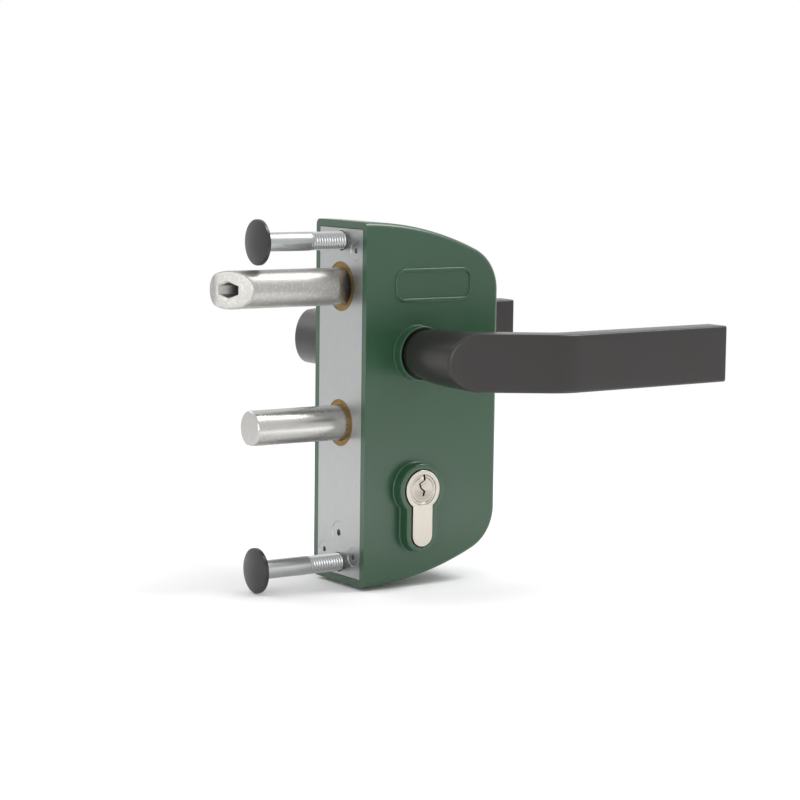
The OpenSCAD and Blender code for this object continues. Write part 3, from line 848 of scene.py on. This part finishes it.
@dataclass
class Fixings:
    """Two long bolts that clamp the lock, with a domed cap over each head.

    Attributes:
        head_edges: Rounding of the head's outer and inner edge.
        dome_stop: How far the dome ends inside the cap's edge.
        cap_edges: Rounding of the cap's upper, lower and inner edge.
        cap_play: Gap between cap and head.
        thread_rows: Rows of points in one pitch.
        fade_pitches: Pitches over which the thread runs out.
        inner_play: How much thinner the bolt is inside the case.
        tip_taper: How much smaller the end of the bolt is.
    """

    radius: float = 4.0
    head_radius: float = 8.2
    head: float = 1.0
    head_edges: tuple[float, float] = (0.3, 0.2)
    cap_radius: float = 9.6
    cap_height: float = 2.8
    cap_edge: float = 1.6
    cap_edges: tuple[float, float, float] = (0.35, 0.2, 0.1)
    cap_play: float = 0.1
    dome_stop: float = 0.4
    dome_rows: int = 16
    pitch: float = 1.25
    thread_depth: float = 0.62
    thread_start: float = -17.0
    thread_rows: int = 8
    fade_pitches: float = 2.0
    inner_play: float = 0.05
    tip_taper: float = 1.0
    steps: int = 48

    def __post_init__(self) -> None:
        """Takes grip, length and height from the frame."""
        low, high = node_box("fixing_bolts")
        self.grip, self.end = -low[0] - self.head, high[0]
        self.height = high[2] - self.head_radius

    def bolt(self, z: float) -> Surface:
        """Bolt with a thin head and a helical thread.

        The thread's radius is r - depth * |2 frac(x / pitch - a / turn) - 1|, faded in at its start.

        Args:
            z: Height of its axis.

        Returns:
            The closed surface.
        """
        angle = turn(self.steps)
        thread = np.arange(self.thread_start, self.end, self.pitch / self.thread_rows)
        phase = thread[:, None] / self.pitch - angle / (2 * np.pi)
        tooth = np.abs(2 * (phase % 1) - 1)
        fade = np.clip((thread - self.thread_start) / (self.fade_pitches * self.pitch), 0, 1)[:, None]
        top = self.radius - np.where(thread > 0, self.inner_play, 0)[:, None]
        wall = top - self.thread_depth * fade * tooth
        plain = softened([(0, -self.grip - self.head), (self.head_radius, -self.grip - self.head),
                          (self.head_radius, -self.grip), (self.radius, -self.grip),
                          (self.radius, self.thread_start)], [0, *self.head_edges, 0, 0], steps=3)
        tip = np.array([(self.radius - self.tip_taper, self.end), (0, self.end)])
        radius = np.vstack([widen(plain[:, 0], self.steps), wall, widen(tip[:, 0], self.steps)])
        along = widen(np.concatenate([plain[:, 1], thread, tip[:, 1]]), self.steps)
        return sheet(np.stack([along, radius * np.cos(angle), z + radius * np.sin(angle)], axis=-1))

    def cap(self, z: float) -> Surface:
        """Domed cap: an arc over a low edge, hollowed for the bolt's head, turned about X.

        The dome's height is top - D + sqrt(D^2 - r^2), with D = (R^2 + rise^2) / (2 rise).

        Args:
            z: Height of its axis.

        Returns:
            The closed surface.
        """
        rise = self.cap_height - self.cap_edge
        dome = (self.cap_radius ** 2 + rise ** 2) / (2 * rise)
        radius = np.linspace(0, self.cap_radius - self.dome_stop, self.dome_rows)
        crown = np.stack([radius, self.cap_height - dome + np.sqrt(dome ** 2 - radius ** 2)], axis=-1)
        hollow = self.head_radius + self.cap_play
        rim = softened([crown[-1], (self.cap_radius, self.cap_edge), (self.cap_radius, 0), (hollow, 0),
                        (hollow, self.head), (0, self.head)], [0, *self.cap_edges, 0, 0])
        return lathe(np.vstack([crown, rim]) * (1, -1), Axis.X, (-self.grip, 0, z))

    def build(self) -> None:
        """Makes both bolts and both caps."""
        places = (self.height, -self.height)
        bolts, caps = (join(*(shape(z) for z in places)) for shape in (self.bolt, self.cap))
        make_piece("fixing_bolts_threaded", bolts, ZINC_STEEL, Body.CASE, ["fixing_bolts"])
        make_piece("fixing_caps_domed", caps, CAP_NYLON, Body.CASE, ["fixing_caps"])


@dataclass
class LatchBolt:
    """Round latch with a bevelled nose, a hexagon socket in it and a milled web at its tail.

    Attributes:
        nose_blend: Width over which the bevel runs into the blunt tip.
        lip: Chamfer round the mouth of the socket.
        rows: Rows of points over the nose and over its edge.
    """

    radius: float = 8.0
    bevel_back: float = 4.5
    nose_blend: float = 0.9
    edge: float = 0.7
    hex_flats: float = 5.8
    hex_depth: float = 17.0
    lip: float = 0.25
    web: float = 8.0
    flat_length: float = 24.65
    collar_radius: float = 6.6
    stub_radius: float = 3.7
    stub: float = 1.0
    collar: float = 3.5
    steps: int = 144
    rows: int = 7

    def __post_init__(self) -> None:
        """Takes the tip, the end and the height from the frame."""
        low, high = node_box("latch_bolt")
        self.tip, self.end = low[0], high[0]
        self.height = (low[2] + high[2]) / 2

    def nose(self, y: np.ndarray) -> np.ndarray:
        """Place of the nose along X: a 45 degree bevel that blends into a blunt tip.

        It is tip + (g + sqrt(g^2 + blend^2)) / 2, with g = bevel_back - y.

        Args:
            y: Distance across the latch.

        Returns:
            Distance along X.
        """
        gap = self.bevel_back - y
        return self.tip + (gap + np.sqrt(gap ** 2 + self.nose_blend ** 2)) / 2

    def surface(self) -> Surface:
        """Latch from the floor of its socket over the nose, along the shank to its tail.

        Each row is a radius r(a) and a place along X. The hexagon's radius is (flats / 2) / cos(30 - |a|),
        with a in degrees from its nearest corner. The nose follows the bevel, and the web is the shank
        clipped at half its thickness in Y.

        Returns:
            The closed surface.
        """
        angle = turn(self.steps)
        across, up = np.sin(angle), np.cos(angle)
        wedge = (angle + np.pi / 6) % (np.pi / 3) - np.pi / 6
        hexagon = self.hex_flats / 2 / np.cos(np.pi / 6 - np.abs(wedge))
        floor = np.full_like(angle, self.tip + self.hex_depth)
        mouth = hexagon + self.lip
        face = mouth + (self.radius - self.edge - mouth) * np.linspace(0, 1, self.rows)[:, None]
        bend = np.linspace(0, np.pi / 2, self.rows)[1:, None]
        edge = self.radius - self.edge + self.edge * np.sin(bend) + 0 * angle
        edge_x = self.nose(edge * across) + self.edge * (1 - np.cos(bend))
        radius = np.vstack([0 * hexagon, hexagon, hexagon, face, edge])
        along = np.vstack([floor, floor, self.nose(hexagon * across) + self.lip,
                           self.nose(face * across), edge_x])
        back = self.end - self.stub
        shoulder = back - self.collar
        start = shoulder - self.flat_length
        # Radius, place along X and half width in Y of each row of the tail
        whole, web = self.radius, self.web / 2
        tail = [(whole, start, whole), (whole, start, web), (whole, shoulder, web), (whole, shoulder, whole),
                (self.collar_radius, shoulder, whole), (self.collar_radius, back, whole),
                (self.stub_radius, back, whole), (self.stub_radius, self.end, whole), (0, self.end, whole)]
        tail_r, tail_x, half = (widen(column, self.steps) for column in np.array(tail).T)
        y = np.vstack([radius * across, np.clip(tail_r * across, -half, half)])
        z = np.vstack([radius, tail_r]) * up + self.height
        return sheet(np.stack([np.vstack([along, tail_x]), y, z], axis=-1))

    def build(self) -> None:
        """Makes the latch."""
        make_piece("latch_bolt_bevelled", self.surface(), LATCH_STEEL, Body.LATCH, ["latch_bolt"],
                   crease=40.0)


@dataclass
class DeadBolt:
    """Round dead bolt with a chamfered end and a flat along its underside."""

    radius: float = 7.7
    flat: float = 6.9
    chamfer: float = 0.6
    edge: float = 0.25
    back_edge: float = 0.3
    steps: int = 160

    def __post_init__(self) -> None:
        """Takes the tip, the end and the height from the frame."""
        low, high = node_box("dead_bolt")
        self.tip, self.end, self.height = low[0], high[0], high[2] - self.radius

    def surface(self) -> Surface:
        """Turned bar with softened edges, whose points are lifted to the flat where they lie below it.

        Returns:
            The closed surface.
        """
        corners = [(0, self.tip), (self.radius - self.chamfer, self.tip),
                   (self.radius, self.tip + self.chamfer), (self.radius, self.end), (0, self.end)]
        profile = softened(corners, [0, self.edge, self.edge, self.back_edge, 0])
        made = lathe(profile, Axis.X, (0, 0, self.height), self.steps)
        made.points[:, 2] = np.maximum(made.points[:, 2], self.height - self.flat)
        return made

    def build(self) -> None:
        """Makes the dead bolt, with its lathe rings round its own axis."""
        finish = replace(BOLT_STEEL, axis_z=self.height)
        make_piece("dead_bolt_turned", self.surface(), finish, Body.DEAD_BOLT, ["dead_bolt"])


@dataclass
class Lever:
    """Lever handle: a flat bar bent in plan, with a round neck behind its rounded root.

    Attributes:
        neck_proud: How far the neck stands out of the bar's walls, so that they don't flicker.
        neck_chamfer: Width and length of the chamfer at the neck's foot.
        neck_flare: Share of the neck's length over which it widens.
        shear_run: Length over which the root's walls turn square to the bar.
        face_rows: Rows over a broad face, as shares of the way from its middle line.
    """

    length: float = 118.0
    height: float = 24.2
    thickness: float = 12.0
    neck_radius: float = 9.8
    neck_proud: float = 0.03
    neck_chamfer: tuple[float, float] = (0.4, 0.5)
    neck_flare: float = 0.62
    neck_rows: int = 15
    neck_steps: int = 96
    journal_radius: float = 8.0
    neck_from: float = 23.2
    root_out: float = 61.0
    bend_out: float = 87.0
    bend_along: float = 29.0
    end_out: float = 83.0
    bend_radius: float = 15.0
    shear_run: float = 12.0
    edge: float = 1.1
    corner: float = 0.8
    root_steps: int = 49
    arm_steps: int = 10
    bend_steps: int = 16
    grip_steps: int = 14
    edge_steps: int = 7
    face_rows: tuple[float, ...] = (0.0, 0.34, 0.67)
    grub_radius: float = 3.05
    grub_along: float = 11.0
    grub_steps: int = 48

    def __post_init__(self) -> None:
        """Works out the slopes, the knee and the lengths of the bar's middle line."""
        self.axis = joint_point("handle_turn")
        self.inner = node_box("rear_handle")[0][1]
        half = self.thickness / 2
        self.slope = math.atan2(self.bend_out - self.root_out, self.bend_along + self.height / 2)
        self.fall = math.atan2(self.end_out - self.bend_out, self.length - self.bend_along)
        self.root = (half * math.sin(self.slope) - self.height / 2,
                     self.root_out - half * math.cos(self.slope))
        far = (self.length + half * math.sin(self.fall), self.end_out - half * math.cos(self.fall))
        climb, drop = math.tan(self.slope), math.tan(self.fall)
        knee = (far[1] - self.root[1] + self.root[0] * climb - far[0] * drop) / (climb - drop)
        cut = self.bend_radius * math.tan((self.slope - self.fall) / 2)
        self.bend_from = (knee - self.root[0]) / math.cos(self.slope) - cut
        self.bend_to = self.bend_from + self.bend_radius * (self.slope - self.fall)
        self.end = self.bend_to + (far[0] - knee) / math.cos(self.fall) - cut
        self.centre = -self.root[0] / math.cos(self.slope)

    def place(self, along: np.ndarray, up: np.ndarray, out: np.ndarray) -> np.ndarray:
        """Carries points of the flat bar onto the bent one.

        The heading falls from slope to fall over the bend, with x = R (sin slope - sin heading) and
        y = R (cos heading - cos slope) there, between two straight runs. Left of the axis the walls are
        sheared to run along Y, so that they meet the neck.

        Args:
            along: Distance along the middle line.
            up: Height.
            out: Distance outwards from the middle line.

        Returns:
            Points from the handle axis, outwards along +Y.
        """
        shear = np.clip(1 - (along - self.centre) / self.shear_run, 0, 1)
        run = along + out * math.tan(self.slope) * shear
        heading = self.slope - np.clip((run - self.bend_from) / self.bend_radius, 0, self.slope - self.fall)
        first, last = np.minimum(run, self.bend_from), np.maximum(run - self.bend_to, 0)
        x = (self.root[0] + first * math.cos(self.slope) + last * math.cos(self.fall)
             + self.bend_radius * (math.sin(self.slope) - np.sin(heading)))
        y = (self.root[1] + first * math.sin(self.slope) + last * math.sin(self.fall)
             + self.bend_radius * (np.cos(heading) - math.cos(self.slope)))
        return np.stack([x - out * np.sin(heading), y + out * np.cos(heading), up], axis=-1)

    def outline(self, inset: np.ndarray) -> np.ndarray:
        """Outline of the flat bar: a half ellipse at the root, straight edges and a square end.

        Args:
            inset: Distances by which the outline is drawn in.

        Returns:
            Points as insets, places along the outline, and distance along the bar and height.
        """
        draw = np.asarray(inset, float)[:, None]
        half = self.height / 2
        round_end = np.linspace(np.pi / 2, 3 * np.pi / 2, self.root_steps)
        left = np.stack([self.centre + (half - draw) / math.cos(self.slope) * np.cos(round_end),
                         (half - draw) * np.sin(round_end)], axis=-1)
        straight = np.concatenate([np.linspace(self.centre, self.bend_from, self.arm_steps)[1:],
                                   np.linspace(self.bend_from, self.bend_to, self.bend_steps)[1:],
                                   np.linspace(self.bend_to, self.end - self.corner, self.grip_steps)[1:-1]])
        lower = np.stack(np.broadcast_arrays(straight, draw - half), axis=-1)
        bend = np.linspace(-np.pi / 2, 0, self.edge_steps)
        tip = np.stack([self.end - draw - self.corner + self.corner * np.cos(bend),
                        draw - half + self.corner + self.corner * np.sin(bend)], axis=-1)
        mirror = np.array([1, -1])
        return np.concatenate([left, lower, tip, tip[:, ::-1] * mirror, lower[:, ::-1] * mirror], axis=1)

    def bar(self) -> Surface:
        """Bar with rounded edges: rows from the middle of the outer face over the edge to the inner face.

        Returns:
            The closed surface.
        """
        draw, deep = quarter(self.edge_steps)
        edge = self.outline(self.edge * draw)
        rim = edge[0]
        middle = np.clip(rim[:, 0], self.centre, self.end - self.height / 2)
        spine = np.stack([middle, 0 * middle], axis=-1)
        outer = np.concatenate([spine + (rim - spine) * np.array(self.face_rows)[:, None, None], edge])
        half = self.thickness / 2
        level = np.concatenate([np.full(len(self.face_rows), half), half - self.edge * deep])
        rows = np.concatenate([outer, outer[::-1]])
        out = widen(np.concatenate([level, -level[::-1]]), rows.shape[1])
        return sheet(self.place(rows[..., 0], rows[..., 1], out))

    def neck(self) -> Surface:
        """Neck and journal: a turned shape whose top follows the slope of the bar's root.

        The radius eases from the collar's to the bar's half height, and the last ring ends on the plane
        where the rounded edge of the outer face begins, left of the axis, and inside the bar right of it.

        Returns:
            The closed surface.
        """
        angle = turn(self.neck_steps)
        flat = np.cos(angle)
        wide = self.height / 2 + self.neck_proud
        inside = np.where(flat < 0, self.thickness / 2 - self.edge, 0.0)
        middle = self.root[1] + (wide * flat - self.root[0]) * math.tan(self.slope)
        top = middle + inside / math.cos(self.slope)
        share = np.linspace(0, 1, self.neck_rows)[:, None]
        ease = np.clip(share / self.neck_flare, 0, 1)
        swell = self.neck_radius + (wide - self.neck_radius) * ease * (2 - ease) + 0 * flat
        chamfer, chamfer_length = self.neck_chamfer
        base = self.neck_from + chamfer_length
        foot = [(0, self.inner), (self.journal_radius, self.inner), (self.journal_radius, self.neck_from),
                (self.neck_radius - chamfer, self.neck_from)]
        foot_r, foot_y = (widen(column, self.neck_steps) for column in np.array(foot).T)
        cap = widen([self.root_out - self.thickness / 2], self.neck_steps)
        radius = np.vstack([foot_r, swell, 0 * cap])
        level = np.vstack([foot_y, base + (top - base) * share, cap])
        return sheet(np.stack([radius * flat, level, radius * np.sin(angle)], axis=-1))

    def set_out(self, surface: Surface, side: Side) -> Surface:
        """Moves a surface from the handle axis to its side of the case."""
        return Surface(surface.points * (1, side.value, 1) + self.axis * (1, 0, 1), surface.faces)

    def build(self) -> None:
        """Makes the bar and the neck of both levers, with the hole of the grub screw from below."""
        drill = rod(self.grub_radius, -self.height, 0, Axis.Z, (0, self.neck_from + self.grub_along, 0),
                    self.grub_steps)
        for side in Side:
            name = side.name.lower()
            bar, neck, hole = (self.set_out(part, side) for part in (self.bar(), self.neck(), drill))
            make_piece(f"{name}_lever_bar", bar, LEVER_POLYAMIDE, Body.HANDLES, [f"{name}_handle"])
            make_piece(f"{name}_lever_neck", carved(neck, [hole]), LEVER_POLYAMIDE, Body.HANDLES)


@dataclass
class ProfileCylinder:
    """Profile cylinder with a plug and a keyway on each side.

    Attributes:
        run: Gap between plug and bore.
        slot: Half width of the slot for the cam.
        slot_floor: Height of that slot's floor.
        band: Flat band at the edge of a plug's face.
        ring: Depth and half width of the ring cut inside the band.
        lip: Flat band inside the ring.
        dish: Depth of the cone inside the lip.
        plug_edges: Rounding of each corner of a plug's section.
        keyway: Middle line of the keyway, across and up from the axis.
        keyway_stop: Distance of the keyway's end from the back of the plug.
    """

    plug_radius: float = 6.5
    run: float = 0.05
    slot: float = 5.0
    slot_floor: float = -51.8
    edge: float = 0.3
    band: float = 0.7
    ring: float = 0.35
    lip: float = 0.4
    dish: float = 1.3
    plug_edges: tuple[float, ...] = (0, 0.1, 0.25, 0.15, 0.15, 0.15, 0.1, 0)
    keyway_half: float = 0.45
    keyway_stop: float = 3.0
    keyway: tuple[tuple[float, float], ...] = (
        (0.2, 7.5), (0.9, 4.1), (-1.4, 2.6), (-0.5, 0.8), (1.3, -0.8), (0.5, -2.8))
    keyhole: Keyhole = field(default_factory=Keyhole)

    def __post_init__(self) -> None:
        """Takes the length and the ends of the plugs from the frame."""
        self.face = node_box("cylinder_body")[1][1]
        low, high = node_box("rear_plug")
        self.plug_from, self.plug_to = low[1], high[1]
        self.axis = self.keyhole.centre * (1, 0, 1)

    def body(self) -> bpy.types.Mesh:
        """Profile carried from face to face, bored for the plugs and slotted for the cam.

        Returns:
            The mesh.
        """
        block = prism(self.keyhole.outline([0.0])[0], -self.face, self.face)
        past = self.face + PAST
        bore = rod(self.plug_radius + self.run, -past, past, Axis.Y, self.axis)
        wide = 2 * self.keyhole.radius
        low, high = self.slot_floor, self.axis[2] + wide
        left, right = self.axis[0] - wide, self.axis[0] + wide
        corners = np.array([(left, low), (right, low), (right, high), (left, high)])
        return carved(block, [bore, prism(corners, -self.slot, self.slot)])

    def plug(self, side: Side) -> bpy.types.Mesh:
        """Turned plug: a ring round its face, a shallow cone inside it and a zig-zag keyway cut along it.

        Args:
            side: Broad face that it shows on.

        Returns:
            The mesh.
        """
        size, end = self.plug_radius, self.plug_to
        groove = size - self.band - self.ring
        inner = groove - self.ring
        corners = [(0, self.plug_from), (size, self.plug_from), (size, end), (size - self.band, end),
                   (groove, end - self.ring), (inner, end), (inner - self.lip, end), (0, end - self.dish)]
        profile = softened(corners, self.plug_edges, steps=4) * (1, side.value)
        zigzag = np.array(self.keyway)
        outline = np.vstack([zigzag - (self.keyway_half, 0), (zigzag + (self.keyway_half, 0))[::-1]])
        ends = sorted(side.value * y for y in (self.plug_from + self.keyway_stop, end + PAST))
        return carved(lathe(profile, Axis.Y, self.axis), [prism(outline + self.axis[[0, 2]], *ends)])

    def build(self) -> None:
        """Makes the body and both plugs."""
        make_piece("cylinder_body_satin", self.body(), CYLINDER_NICKEL, Body.CASE, ["cylinder_body"],
                   bevel=self.edge)
        for side in Side:
            name = f"{side.name.lower()}_plug"
            make_piece(f"{name}_keyed", self.plug(side), CYLINDER_NICKEL, Body.KEY, [name])


@dataclass
class LatchSpring:
    """Coil that pushes the latch out and closes up as the handle draws it.

    Attributes:
        wire: Radius of the wire.
        steps: Points along one coil.
        sides: Points round the wire.
    """

    wire: float = 0.7
    coils: int = 9
    steps: int = 36
    sides: int = 12

    def __post_init__(self) -> None:
        """Takes the ends, the axis and the coil's radius from the frame."""
        low, high = node_box("latch_spring")
        self.start, self.end = low[0], high[0]
        self.height = (low[2] + high[2]) / 2
        self.radius = (high[1] - low[1]) / 2 - self.wire

    def coil(self) -> Surface:
        """Round wire along a helix with closed end coils.

        A point at angle a along the helix and b round the wire has r = radius + wire * cos b, and lies at
        (x(a) + wire * sin b, r * cos a, r * sin a), where x climbs by one wire's width in the first and
        in the last coil.

        Returns:
            The closed surface.
        """
        turned = np.linspace(0, self.coils, self.coils * self.steps + 1)[:, None]
        span, close = self.end - self.start - 2 * self.wire, 2 * self.wire
        along = np.interp(turned, [0, 1, self.coils - 1, self.coils], [0, close, span - close, span])
        a, b = 2 * np.pi * turned, turn(self.sides)[None]
        reach = self.radius + self.wire * np.cos(b)
        x = self.start + self.wire + along + self.wire * np.sin(b)
        tube = sheet(np.stack([x, reach * np.cos(a), reach * np.sin(a) + self.height], axis=-1))
        count = len(tube.points)
        ends = [list(range(self.sides)), list(range(count - self.sides, count))]
        return Surface(tube.points, tube.faces + ends)

    def build(self) -> None:
        """Makes the coil and gives it a mesh of its own."""
        piece = make_piece("latch_spring_coil", self.coil(), SPRING_STEEL, Body.CASE, ["latch_spring"],
                           crease=60.0)
        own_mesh(piece)


@dataclass
class InnerWorks:
    """CAD nodes that keep their own shape and only take a finish."""

    finishes: dict[Finish, tuple[str, ...]] = field(default_factory=lambda: {
        ZINC_STEEL: ("mounting_plate", "plate_screws", "cylinder_screw", "latch_yoke", "follower", "spindle",
                     "handle_screws", "dead_bolt_tail", "tail_screws", "cylinder_cam"),
        SPRING_STEEL: ("follower_spring", "plug_clips"),
        GUIDE_BRONZE: ("latch_guide", "dead_bolt_guide"),
        BUSH_NYLON: ("front_bush", "rear_bush"),
    })

    def build(self) -> None:
        """Puts each finish on its nodes."""
        for finish, names in self.finishes.items():
            for name in names:
                dress(frame["nodes"][name].data, finish)
                LOG.info("%s: %s", name, finish.name)


# Studio


def seen_rays(tree: Tree) -> Socket:
    """1 for rays that show a background: the camera's, mirrored ones and those through glass.

    Args:
        tree: Node tree that takes the nodes.

    Returns:
        1 for such a ray and 0 for others.
    """
    path = add_node(tree, "ShaderNodeLightPath").outputs
    mirrored = add_node(tree, "ShaderNodeMath", {"operation": "MAXIMUM"},
                        {0: path["Is Camera Ray"], 1: path["Is Glossy Ray"]})
    links = {0: mirrored.outputs[0], 1: path["Is Transmission Ray"]}
    return add_node(tree, "ShaderNodeMath", {"operation": "MAXIMUM"}, links).outputs[0]


@dataclass(frozen=True)
class Lamp:
    """A square soft light.

    Attributes:
        name: Name of the light.
        place: Its centre in metres.
        size: Its side in metres.
        power: Its power in watts.
        aim: Point that it faces, in metres.
    """

    name: str
    place: Point
    size: float
    power: float
    aim: Point = (0.0, 0.0, 0.0)

    def build(self) -> None:
        """Hangs the light, which shines along its own -Z."""
        data = bpy.data.lights.new(self.name, "AREA")
        data.shape, data.size, data.energy = "SQUARE", self.size, self.power
        back = np.subtract(self.place, self.aim) / np.linalg.norm(np.subtract(self.place, self.aim))
        side = np.cross((0, 0, 1), back)
        side /= np.linalg.norm(side)
        add_object(self.name, data).matrix_world = placement((side, np.cross(back, side), back), self.place)


@dataclass
class Studio:
    """Pale floor, soft light and the camera of the photograph.

    Attributes:
        origin_px: Place of the frame's origin in the picture.
        floor_drop: Gap between the part's lowest point and the floor.
        fade: Distances from the origin at which the floor starts to turn white and is white.
        sky: Strength of the room all round.
        dim: Strength of the light that matt surfaces take from straight in front.
        dim_span: Dot product with the front at which that light starts to dim and is dimmest.
        lamps: One lights the case's upper edge, one the lever from below, one the rounded start of the
            lever's bar and one the rear.
    """

    azimuth: float = 33.64
    pitch: float = 6.86
    roll: float = 0.72
    distance: float = 1049.75
    focal_px: float = 2462.24
    frame_px: float = 800.0
    origin_px: tuple[float, float] = (339.82, 402.33)
    sensor: float = 36.0
    floor_drop: float = 0.3
    floor_half: float = 6000.0
    floor_rows: int = 3
    floor_colour: str = "#fafafa"
    floor_roughness: float = 0.9
    fade: tuple[float, float] = (250.0, 700.0)
    sky: float = 1.0
    dim: float = 0.4
    dim_span: tuple[float, float] = (0.45, 0.95)
    lamps: tuple[Lamp, ...] = (
        Lamp("top", place=(1.05, -0.4, 1.6), size=0.8, power=18.0),
        Lamp("low", place=(0.12, -0.21, -0.03), size=0.14, power=0.1, aim=(0.12, -0.211, -0.08)),
        Lamp("edge", place=(-1.1, -0.75, 0.2), size=0.45, power=3.0),
        Lamp("back", place=(-0.6, 1.4, 1.2), size=1.2, power=4.0),
    )

    def camera(self) -> None:
        """Places the camera so that the frame's origin falls on its place in the photograph.

        The camera looks along forward = (sin A cos p, cos A cos p, -sin p), is rolled about it, and stands
        the distance back, moved sideways by the origin's offset from the middle of the picture.
        """
        a, p, r = (math.radians(v) for v in (self.azimuth, self.pitch, self.roll))
        forward = np.array([math.sin(a) * math.cos(p), math.cos(a) * math.cos(p), -math.sin(p)])
        level = np.array([math.cos(a), -math.sin(a), 0.0])
        lift = np.cross(level, forward)
        right = level * math.cos(r) + lift * math.sin(r)
        up = lift * math.cos(r) - level * math.sin(r)
        offset = (np.array(self.origin_px) - self.frame_px / 2) * (1, -1)
        aside, above = offset * self.distance / self.focal_px
        where = -(aside * right + above * up + self.distance * forward) * MM
        data = bpy.data.cameras.new("camera")
        data.sensor_width = self.sensor
        data.lens = self.focal_px / self.frame_px * self.sensor
        eye = add_object("camera", data)
        eye.matrix_world = placement((right, up, -forward), where)
        bpy.context.scene.camera = eye

    def world(self) -> None:
        """White room that gives matt surfaces less light from the front, where the camera stands.

        Strength falls from the sky's to the dim level as the ray turns to the front: by the dot product of
        the ray's direction and -Y. What is seen or mirrored has a strength of 1, which is white, all round.
        """
        world = bpy.data.worlds.new("studio")
        bpy.context.scene.world = world
        world.use_nodes = True
        tree = world.node_tree
        tree.nodes.clear()
        # In a world this coordinate is the direction of the ray
        ray = add_node(tree, "ShaderNodeTexCoord").outputs["Generated"]
        towards = {"operation": "DOT_PRODUCT", 1: (0.0, -1.0, 0.0)}
        facing = add_node(tree, "ShaderNodeVectorMath", towards, {0: ray})
        start, dimmest = self.dim_span
        fall = {"interpolation_type": "SMOOTHSTEP", 1: start, 2: dimmest, 3: self.sky, 4: self.dim}
        level = add_node(tree, "ShaderNodeMapRange", fall, {0: facing.outputs["Value"]})
        shown = add_node(tree, "ShaderNodeMath", {"operation": "MAXIMUM"},
                         {0: seen_rays(tree), 1: level.outputs[0]})
        room = add_node(tree, "ShaderNodeBackground", {"Color": WHITE}, {"Strength": shown.outputs[0]})
        add_node(tree, "ShaderNodeOutputWorld", None, {0: room.outputs[0]})

    def floor_paint(self) -> bpy.types.Material:
        """Matt white paint that takes the shadow and, where seen or mirrored, fades into the white room.

        Returns:
            The material.
        """
        paint = bpy.data.materials.new("matt white floor paint")
        paint.use_nodes = True
        tree = paint.node_tree
        shader = tree.nodes["Principled BSDF"]
        shader.inputs["Base Color"].default_value = linear(self.floor_colour)
        shader.inputs["Roughness"].default_value = self.floor_roughness
        place = add_node(tree, "ShaderNodeTexCoord").outputs["Object"]
        away = add_node(tree, "ShaderNodeVectorMath", {"operation": "LENGTH"}, {0: place})
        near, far = self.fade
        fade = add_node(tree, "ShaderNodeMapRange", {1: near * MM, 2: far * MM}, {0: away.outputs["Value"]})
        share = add_node(tree, "ShaderNodeMath", {"operation": "MULTIPLY"},
                         {0: fade.outputs[0], 1: seen_rays(tree)})
        white = add_node(tree, "ShaderNodeEmission", {"Color": WHITE, "Strength": 1.0})
        mixed = add_node(tree, "ShaderNodeMixShader", None,
                         {0: share.outputs[0], 1: shader.outputs[0], 2: white.outputs[0]})
        tree.links.new(mixed.outputs[0], tree.nodes["Material Output"].inputs["Surface"])
        return paint

    def floor(self) -> None:
        """Pale floor just below the lowest point of the part."""
        low = CAD_BOX[0][2] / MM - self.floor_drop
        span = np.linspace(-self.floor_half, self.floor_half, self.floor_rows)
        x, y = np.meshgrid(span, span)
        mesh = fill_mesh("floor", sheet(np.stack([x, y, np.full_like(x, low)], axis=-1), wrap_columns=False))
        mesh.materials.append(self.floor_paint())
        add_object("floor", mesh)

    def build(self) -> None:
        """Sets the floor, the world, the lights, the camera and a plain view transform."""
        bpy.context.scene.view_settings.view_transform = "Standard"
        self.floor()
        self.world()
        for lamp in self.lamps:
            lamp.build()
        self.camera()


def main() -> None:
    """Builds every sub-assembly in order and the studio round them."""
    logging.basicConfig(level=logging.INFO, format="%(message)s")
    for part in (Case(), Fixings(), LatchBolt(), DeadBolt(), Lever(), ProfileCylinder(), LatchSpring(),
                 InnerWorks(), Studio()):
        LOG.info("building %s", type(part).__name__)
        part.build()


if __name__ == "__main__":
    main()
